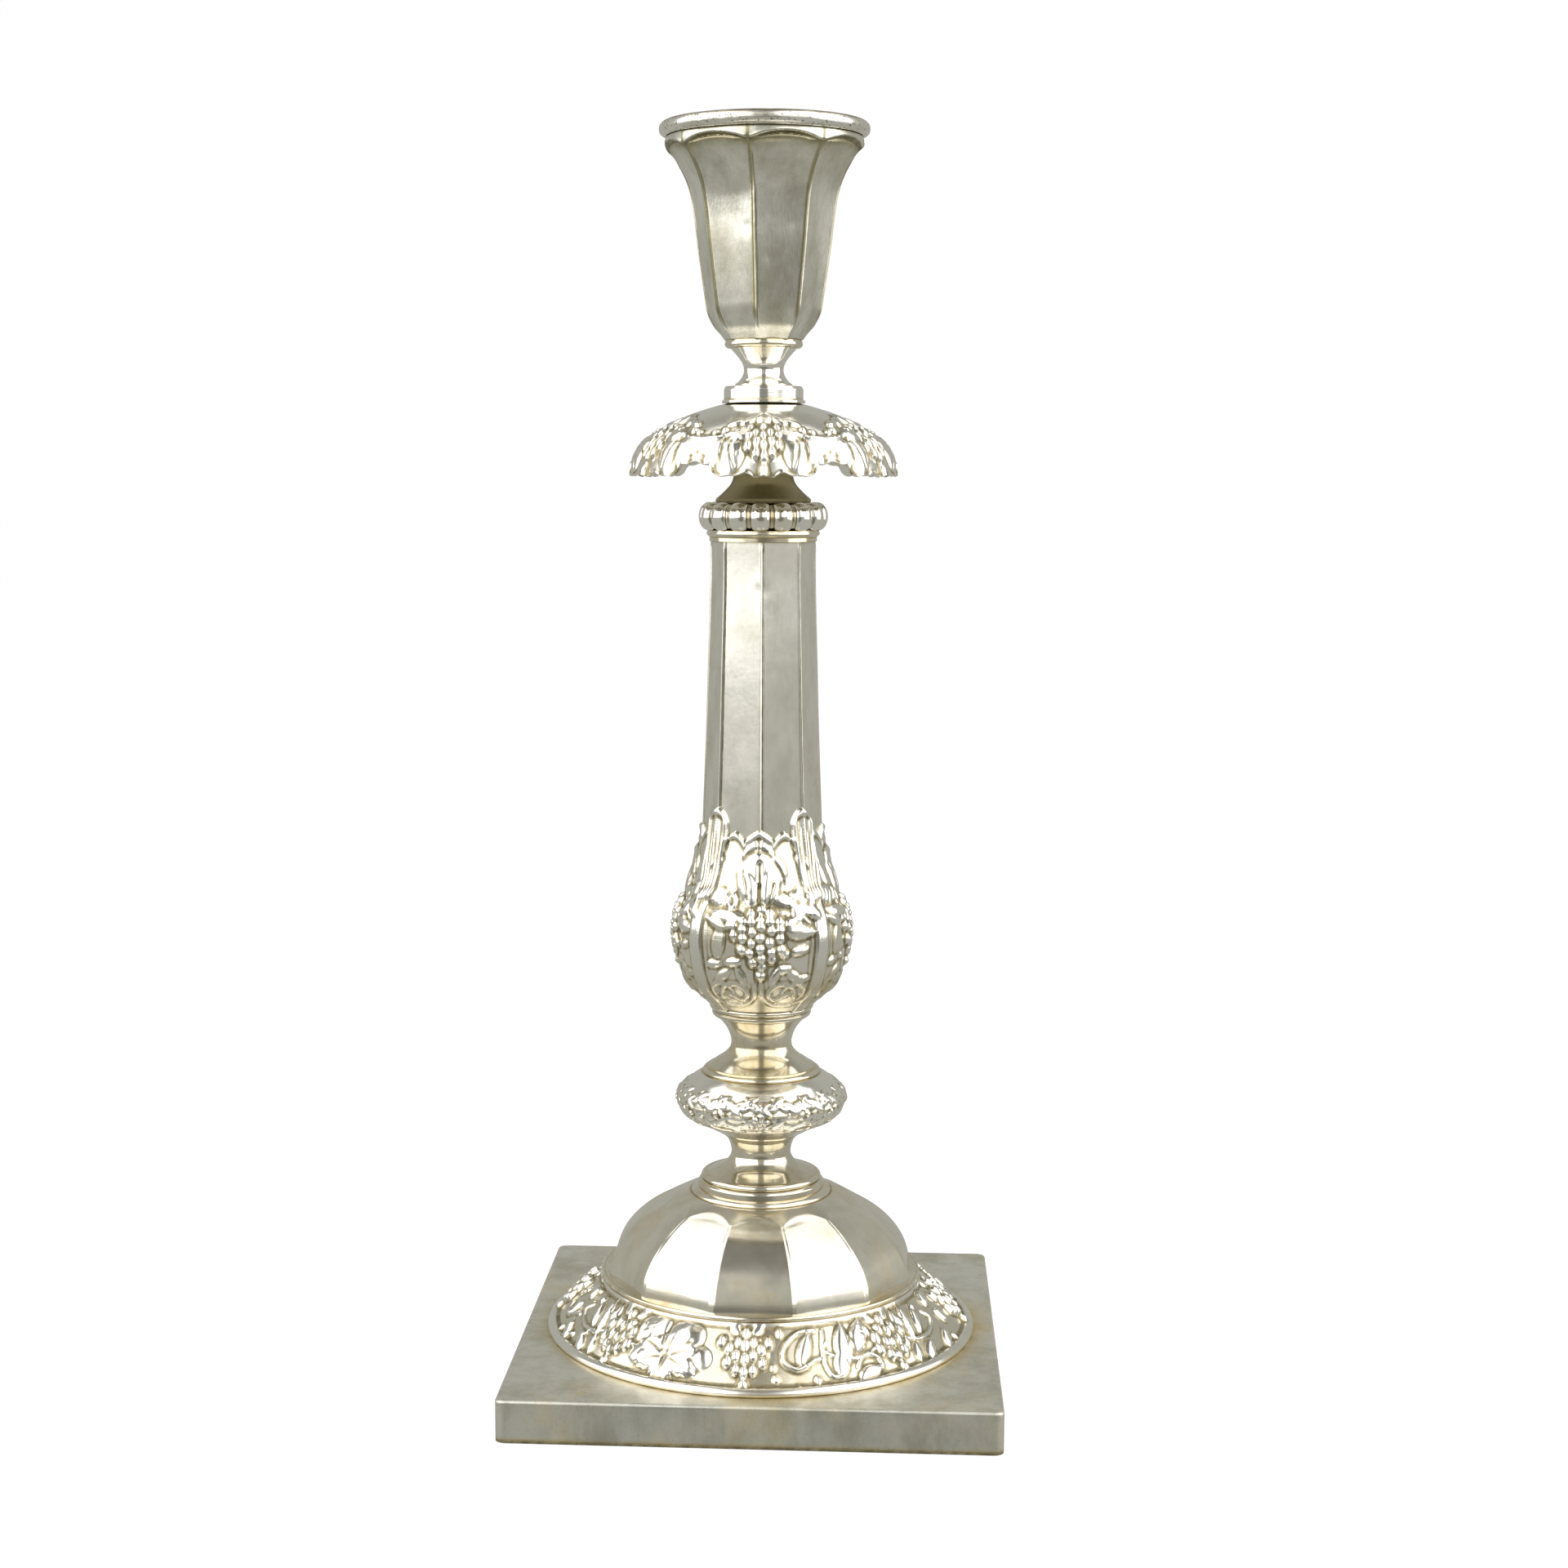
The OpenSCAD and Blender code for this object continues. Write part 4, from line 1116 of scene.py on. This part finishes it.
def make_bulb(look, outline, shaft):
    """The bulb with its relief. It runs a little way up the shaft, under the leaves' tips."""
    columns = 640
    overlap = 5.0
    below = 2.6                  # the relief counts its heights from this far under the foot
    rise = join(outline, lifted(shaft[shaft[:, 1] < overlap][1:], BULB_H))
    line = lifted(resample(rise, 0.42), low("column"))
    relief = Relief(line, columns, 90)
    relief.up = relief.up + below
    bulb_relief(relief)
    angles = bearings(columns, relief.start)
    corner = polygon_factor(angles, SHAFT_SIDES, 0)[None, :]
    factor = 1 + (corner - 1) * smoothstep(relief.up, 40, 54)
    height = relief.full(1)
    bare = smoothstep(relief.up, 48, 51) * (1 - smoothstep(height, 0.0, 0.25))
    height = height - 0.45 * bare
    plain = resample(line, 1.4)
    inner = inset(plain, SHEET + 1.1)
    inner[0] = (line[0, 0] - SHEET, line[0, 1])
    inner[-1, 1] = line[-1, 1]
    floor_disc = sweep(join([(inner[0, 0], line[0, 1] + SHEET)], [(3.0, line[0, 1] + SHEET)],
                            [(3.0, line[0, 1])]), columns // 16, relief.start)
    back = sweep(inner[::-1], columns // 4, relief.start)
    bulb = shell("column_bulb", [sweep(line, columns, relief.start, factor, height), back[:-1],
                                 floor_disc], "candlestick", ["column"], look["stamped"],
                 recess=(0.85, 0.14), sharp=180)
    run = lengths(line)[:, None]
    # the bulb grows darker and more ochre towards its foot
    darker_toward_foot = 0.32 * (1 - smoothstep(run, 8, 26)) * np.ones((1, columns))
    sunk_wear = 0.24 * (1 - smoothstep(height, -0.45, 0.1)) * smoothstep(run, 14, 20)
    add_wear_and_shade(bulb, np.maximum(darker_toward_foot, sunk_wear))


def make_shaft(look, shaft, shaft_h):
    """The eight-sided shaft, with a fine fillet and a groove along every edge."""
    columns = 480
    base = low("column") + BULB_H
    start = base - 6.0           # its foot is hidden inside the bulb
    tall = lifted(resample(join([(15.7, -6.0)], shaft), 1.0), base)
    angles = bearings(columns)
    sector = 360 / SHAFT_SIDES
    away = np.radians((angles + sector / 2) % sector - sector / 2) * 14.2
    up = tall[:, 1:] - start
    edge = 0.15 * bell(away, 0, 0.26) - 0.18 * bell(away, 0.62, 0.24)
    height = edge[None, :] * (1 - smoothstep(tall[:, 1:], base + shaft_h - 2, base + shaft_h))
    height = height + dent(angles, up, 14, -2.5, base + 61.0 - start, 1.3, 0.05)
    height = height - dent(angles, up, 14, 4.0, base + 58.5 - start, 1.6, 0.05)
    factor = polygon_factor(angles, SHAFT_SIDES, 0)[None, :]
    inner_factor = polygon_factor(angles[::4], SHAFT_SIDES, 0)[None, :]
    back = sweep((tall - (SHEET, 0))[::-1][::4], columns // 4, factor=inner_factor)
    shell("column_shaft", [sweep(tall, columns, factor=factor, height=height), back],
          "candlestick", ["column"], look["panel"], sharp=18, recess=(0.8, 0.14))


def make_column(look):
    """Two shells of the one stamped column."""
    bulb = smooth([(13.9, 0), (16.8, 3), (19.9, 6), (21.9, 10), (22.9, 14.5), (23.4, 19.6),
                   (22.5, 25.4), (20.1, 30), (17.6, 35.8), (16.3, 43), (15.5, BULB_H)])
    shaft_h = high("column") - low("column") - BULB_H
    shaft = smooth([(15.5, 0), (14.7, 0.3 * shaft_h), (14.2, 0.55 * shaft_h),
                    (13.6, 0.85 * shaft_h), (13.6, shaft_h)])
    make_bulb(look, bulb, shaft)
    make_shaft(look, shaft, shaft_h)


def dent(angles, up, radius, angle, level, size, depth):
    """A shallow round knock in a panel; angle in degrees, level and size in mm."""
    across = np.radians((angles - angle + 180) % 360 - 180)[None, :] * radius
    return depth * np.exp(-((across / size) ** 2 + ((up - level) / size) ** 2))


def make_gadroon(look):
    """A ring of sixteen round lobes with a double fine bead between neighbours."""
    columns = 768
    lobes = 16
    section = smooth([(13.5, 0), (14.6, 0.3), (15.5, 1.5), (15.8, 3.5), (15.4, 5.5),
                      (14.3, 6.7), (12.8, 7)])
    line = lifted(resample(section, 0.25), low("gadroon_ring"))
    angles = bearings(columns)
    share = np.abs(panel_share(angles, lobes, 180 / lobes))[None, :]
    lobe = np.sqrt(np.clip(1 - (share / 0.82) ** 2, 0, 1))
    bead = bell(share, 0.90, 0.035) + bell(share, 1.0, 0.035)
    rise = np.sin(math.pi * lengths(line) / lengths(line)[-1])[:, None]
    height = 1.35 * lobe * rise ** 0.5 + 0.35 * bead * rise ** 0.5 - 0.45
    inside = sweep(join([(9.0, line[-1, 1])], [(9.0, line[0, 1])]), columns // 8)
    shell("gadroon_ring", [sweep(line, columns, height=height), inside], "candlestick",
          ["gadroon_ring"], look["bright"], recess=(0.9, 0.25), seam=0)


# ---- drip pan

def pan_edge(angles):
    """Height of the leafy edge along the outline, which repeats every sixth of a turn."""
    turn = np.abs((angles - 3 + 30) % 60 - 30)
    tip = 1.0 * smoothstep(turn, 2.0, 8.5)
    lobe = -0.9 * bell(turn, 15.5, 4.5)
    gap = 2.2 * smoothstep(turn, 20.5, 23.5) + 0.5 * np.cos(np.radians((turn - 30) * 18))
    wave = 0.25 * np.cos(np.radians(turn * 48))
    return np.clip(tip + lobe + wave + gap * smoothstep(turn, 20, 23), 0, None)


def pan_relief(r):
    """One sixth: grapes over a leaf that folds to both sides, buds and a cap leaf above."""
    centre = 3
    for side in (-1, 1):
        r.spray(r.pad, centre, side, [(14.5, 5.6, -14, 11.0, 7.0, 1.0, 0.7),
                                      (21.5, 6.0, -30, 9.0, 5.0, 0.8, 0.7),
                                      (10.5, 12.0, -26, 8.5, 6.0, 0.9, 0.7)])
        r.spray(r.drop, centre, side, [(27, 9.0, 74, 15, 6.0, 0.8)])
        r.groove(sided(centre, side, (12.4, 2.2), (14.5, 6.0), (15.4, 10.0)), 0.5, 0.3)
        r.groove(sided(centre, side, (18, 2.6), (18.6, 6.0), (18.4, 9.6)), 0.5, 0.3)
        r.ridge(sided(centre, side, (13, 12.6), (20, 11.6), (30, 10.2)), 1.0, 1.0, (1, 0.7))
        r.groove(sided(centre, side, (18, 10.0), (24, 9.0), (30, 8.2)), 0.6, 0.3)
        r.spray(r.drop, centre, side, [(8.5, 18.6, -36, 6.4, 3.0, 0.8),
                                       (15.0, 17.6, -62, 6.0, 2.6, 0.7)])
        r.berry(centre + side * 20.6, 14.2, 1.0, 0.85)
        r.berry(centre + side * 25.2, 13.2, 1.05, 0.85)
    r.drop(centre, 20.0, 90, 6.5, 4.4, 0.9)
    r.grapes(centre, 17.0, 1.8, 13.5, 1.05, 1.25, 1.75, 0.14, 1.8)


def make_pan(look):
    """A pressed leafy sheet whose edge follows the leaves."""
    columns = 912
    outline = smooth([(35.6, -18.6), (34.6, -15.2), (33.2, -12), (31.3, -9.8), (28.5, -7.8),
                      (24, -5.2), (18.5, -2.6), (13, -0.8), (10.2, -0.05)])
    top = high("drip_pan")
    fine = lifted(resample(outline, 0.1), top)
    fine[:, 0] -= 0.9 * smoothstep(lengths(fine), 22, 6)
    run = lengths(fine)
    start = 3 - 30
    angles = bearings(columns, start)
    edge = pan_edge(angles)[None, :]
    share = np.linspace(0, 1, 92)[:, None]
    up = edge + (run[-1] - edge) * share
    line = np.column_stack([np.interp(up[:, 0], run, fine[:, k]) for k in (0, 1)])
    relief = Relief(line, columns, 60, 3)
    repeat = relief.height.shape[1]
    relief.up = up[:, :repeat]
    relief.radius = np.interp(relief.up, run, fine[:, 0])
    relief.height = np.zeros(relief.up.shape)
    pan_relief(relief)
    height = relief.full(1)
    rolled = 0.35 * bell(up, edge, 0.5)
    height = (height + rolled) * (1 - smoothstep(up, 26, 30)) - 0.1
    out = normals(fine)
    turn = np.radians(angles + FRONT)[None, :]

    def laid(where, lift):
        radius = np.interp(where, run, fine[:, 0]) + lift * np.interp(where, run, out[:, 0])
        level = np.interp(where, run, fine[:, 1]) + lift * np.interp(where, run, out[:, 1])
        return np.stack([radius * np.cos(turn), radius * np.sin(turn), level], axis=-1)

    front = laid(up, height)
    under = laid(up[::4], blurred(height, 3, 6)[::4] - SHEET - 0.05)[::-1, ::3]
    hub = sweep(join([(9.6, top)], [(4.1, top)], [(4.1, top - SHEET)], [(9.6, top - SHEET)]),
                columns // 12, start)
    shell("drip_pan", [front, hub, under], "pan", ["drip_pan"], look["stamped"],
          recess=(0.95, 0.17), sharp=70, seam=0)


# ---- socket cup and nozzle

CUP_SIDES = 8
CUP_TURN = -6.7               # angle of the panel edge next to the front, degrees
CUP_DENTS = ((5.9, 21.5, 1.3, 0.07), (-10.5, 28.8, 1.3, 0.07), (28.0, 30.0, 1.5, 0.04),
             (150.0, 22.0, 1.6, 0.07), (-110.0, 30.0, 1.4, 0.06))   # angle, up, size, depth


def cup_factor(angles, up, end):
    """How far the panels' flatness has faded towards the flare, and how much nearer than a
    corner each angle of the flat panels is."""
    fade = 1 - 0.45 * smoothstep(up, end - 14, end - 2)
    return fade, polygon_factor(angles, CUP_SIDES, CUP_TURN)[None, :] - 1


def cup_height(angles, up, radius, flat, arch, end):
    """Hollowed panels with a fillet and a groove at their edges, a ledge over each arch, and
    a few knocks. Also returns the distance to the nearest edge in mm."""
    share = panel_share(angles, CUP_SIDES, CUP_TURN)[None, :]
    hollow = -0.012 * radius * np.clip(1 - share ** 2, 0, 1) * flat
    away = np.radians((angles - CUP_TURN + 22.5) % 45 - 22.5)[None, :] * radius
    edge = 0.16 * bell(away, 0, 0.24) - 0.16 * bell(away, 0.6, 0.22)
    edge = edge * smoothstep(up, 2, 5) * (1 - smoothstep(up, end - 5, end - 2))
    ledge = 0.12 * bell(up - arch, 0.6, 0.4) - 0.3 * bell(up - arch, -0.2, 0.45)
    height = hollow + edge + ledge * (np.abs(share) < 0.96)
    for angle, level, size, depth in CUP_DENTS:
        height = height - dent(angles, up, 17, angle, level, size, depth)
    return height, away


def make_cup(look):
    """Eight hollowed panels, each ending in an arch under the round band."""
    columns = 576
    inner_columns = columns // 4
    base = low("socket_cup")
    flute = smooth([(10.2, 0), (11.4, 1.6), (13, 3.6), (14.6, 6.8), (15.3, 10.5), (16.2, 16.5),
                    (17.2, 23.5), (18.1, 31), (19.2, 37.2), (20.9, 41.7), (23.2, 45.6),
                    (24.9, 47.4)])
    band = smooth([(25.15, 48.1), (25.25, 49.0), (25.2, 50.0), (24.9, 50.6)])
    whole = resample(join(flute, band), 0.1)
    run = lengths(whole)
    coarse = run < run[-1] - 6.5          # closer rows near the arches
    line = lifted(join(whole[coarse][::5], whole[~coarse][::2]), base)
    angles = bearings(columns)
    up = lengths(line)[:, None]
    end = lengths(flute)[-1]
    arch = up[-1] - 1.5 - 2.1 * panel_share(angles, CUP_SIDES, CUP_TURN)[None, :] ** 2
    fade, corner = cup_factor(angles, up, end)
    flat = (1 - smoothstep(up, arch - 0.35, arch + 0.35)) * fade
    height, away = cup_height(angles, up, line[:, :1], flat, arch, end)
    outside = sweep(line, columns, factor=1 + corner * flat, height=height)

    mouth_r = 23.5
    top = line[-1, 1]
    rim = sweep(join([(mouth_r + 0.2, top)], [(mouth_r, top - 0.2)], [(mouth_r, top - 3.2)]),
                inner_columns)
    plain = lifted(resample(flute, 1.4), base)
    inner = inset(plain, SHEET + 0.3)[:-2]
    inner_fade, inner_corner = cup_factor(bearings(inner_columns), lengths(plain)[:-2, None], end)
    back = sweep(inner[::-1], inner_columns, factor=(1 + inner_corner * inner_fade)[::-1])
    well = sweep(join([(9.0, base + SHEET)], [(1.5, base + SHEET)]), columns // 16)
    foot = sweep(join([(1.5, base)], [(9.6, base)]), columns // 16)
    cup = shell("socket_cup", [outside, rim, back[:-1], well, foot], "socket", ["socket_cup"],
                look["cup"], sharp=30, recess=(0.9, 0.2))
    # painted shade: the panels darken just under each arch, and in thin dark lines beside each panel
    # edge
    shaded = 0.62 * np.exp(-np.clip(arch - up, 0, None) / 3.5) * (up < arch + 0.3)
    beside = 0.5 * bell(away, 0, 0.7) * smoothstep(up, 3, 8)
    add_wear_and_shade(cup, np.maximum(shaded, beside))


def make_nozzle(look):
    """The loose nozzle's rolled lip, its funnel down to the tube and the skirt in the mouth."""
    base = low("nozzle_tube") + 27.6
    skirt_r, tube_r = 23.4, 11.0
    lip = smooth([(25.3, 0), (25.6, 0.25), (26.55, 0.9), (26.8, 1.9), (26.6, 2.8), (25.9, 3.45),
                  (25.0, 3.7), (24.2, 3.62)])
    funnel = smooth([(23.4, 3.3), (20.5, 0.9), (16, -1.3), (12.8, -3.6), (tube_r, -6.2)])
    back = smooth([(tube_r + 0.9, -6.2), (13.6, -3.9), (16.5, -2.1), (20.2, -0.3), (21.6, 0.4)])
    line = lifted(resample(join([(skirt_r, -2.3), (skirt_r, 0)], lip, funnel), 0.3), base)
    columns = 480
    angles = bearings(columns)
    up = lengths(line)[:, None]
    dice = np.random.default_rng(11)
    height = np.zeros((len(line), columns))
    for _ in range(46):
        level = dice.uniform(6.0, 11.5)
        height = height - dent(angles, up, 26, dice.uniform(-180, 180), level,
                               dice.uniform(0.35, 1.1), dice.uniform(0.03, 0.11))
    inside = sweep(lifted(join(back, [(22.4, 0.4), (22.4, -2.3)]), base), columns // 4)
    piece = shell("nozzle_flange", [sweep(line, columns, height=height), inside], "nozzle",
                  ["nozzle_flange"], look["rim"], recess=(1.0, 0.3))
    # painted dark reflection along the top of the roll
    crest_painted_reflection = 0.8 * bell(up, 8.3, 0.5)      # a dark line along the top of the roll
    add_wear_and_shade(piece, crest_painted_reflection * np.ones((1, columns)))


# ---- parts kept from the CAD

def paint_kept_parts(look):
    """The plain turned metalwork inside keeps its CAD mesh and gets its own finish."""
    finishes = {"coupling_bush": "brass", "pan_nut": "brass", "tie_rod": "steel",
                "rod_washer": "steel", "rod_nut": "steel", "socket_stud": "steel",
                "nozzle_tube": "turned", "nozzle_bottom": "turned"}
    for name, finish in finishes.items():
        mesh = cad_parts[name].data
        mesh.materials.clear()
        mesh.materials.append(look[finish])


make_camera()
make_lights()
make_stage()
LOOK = make_materials()
make_plinth(LOOK)
make_frieze(LOOK)
make_dome(LOOK)
make_knop(LOOK)
make_column(LOOK)
make_gadroon(LOOK)
make_turned(LOOK)
make_pan(LOOK)
make_cup(LOOK)
make_nozzle(LOOK)
paint_kept_parts(LOOK)
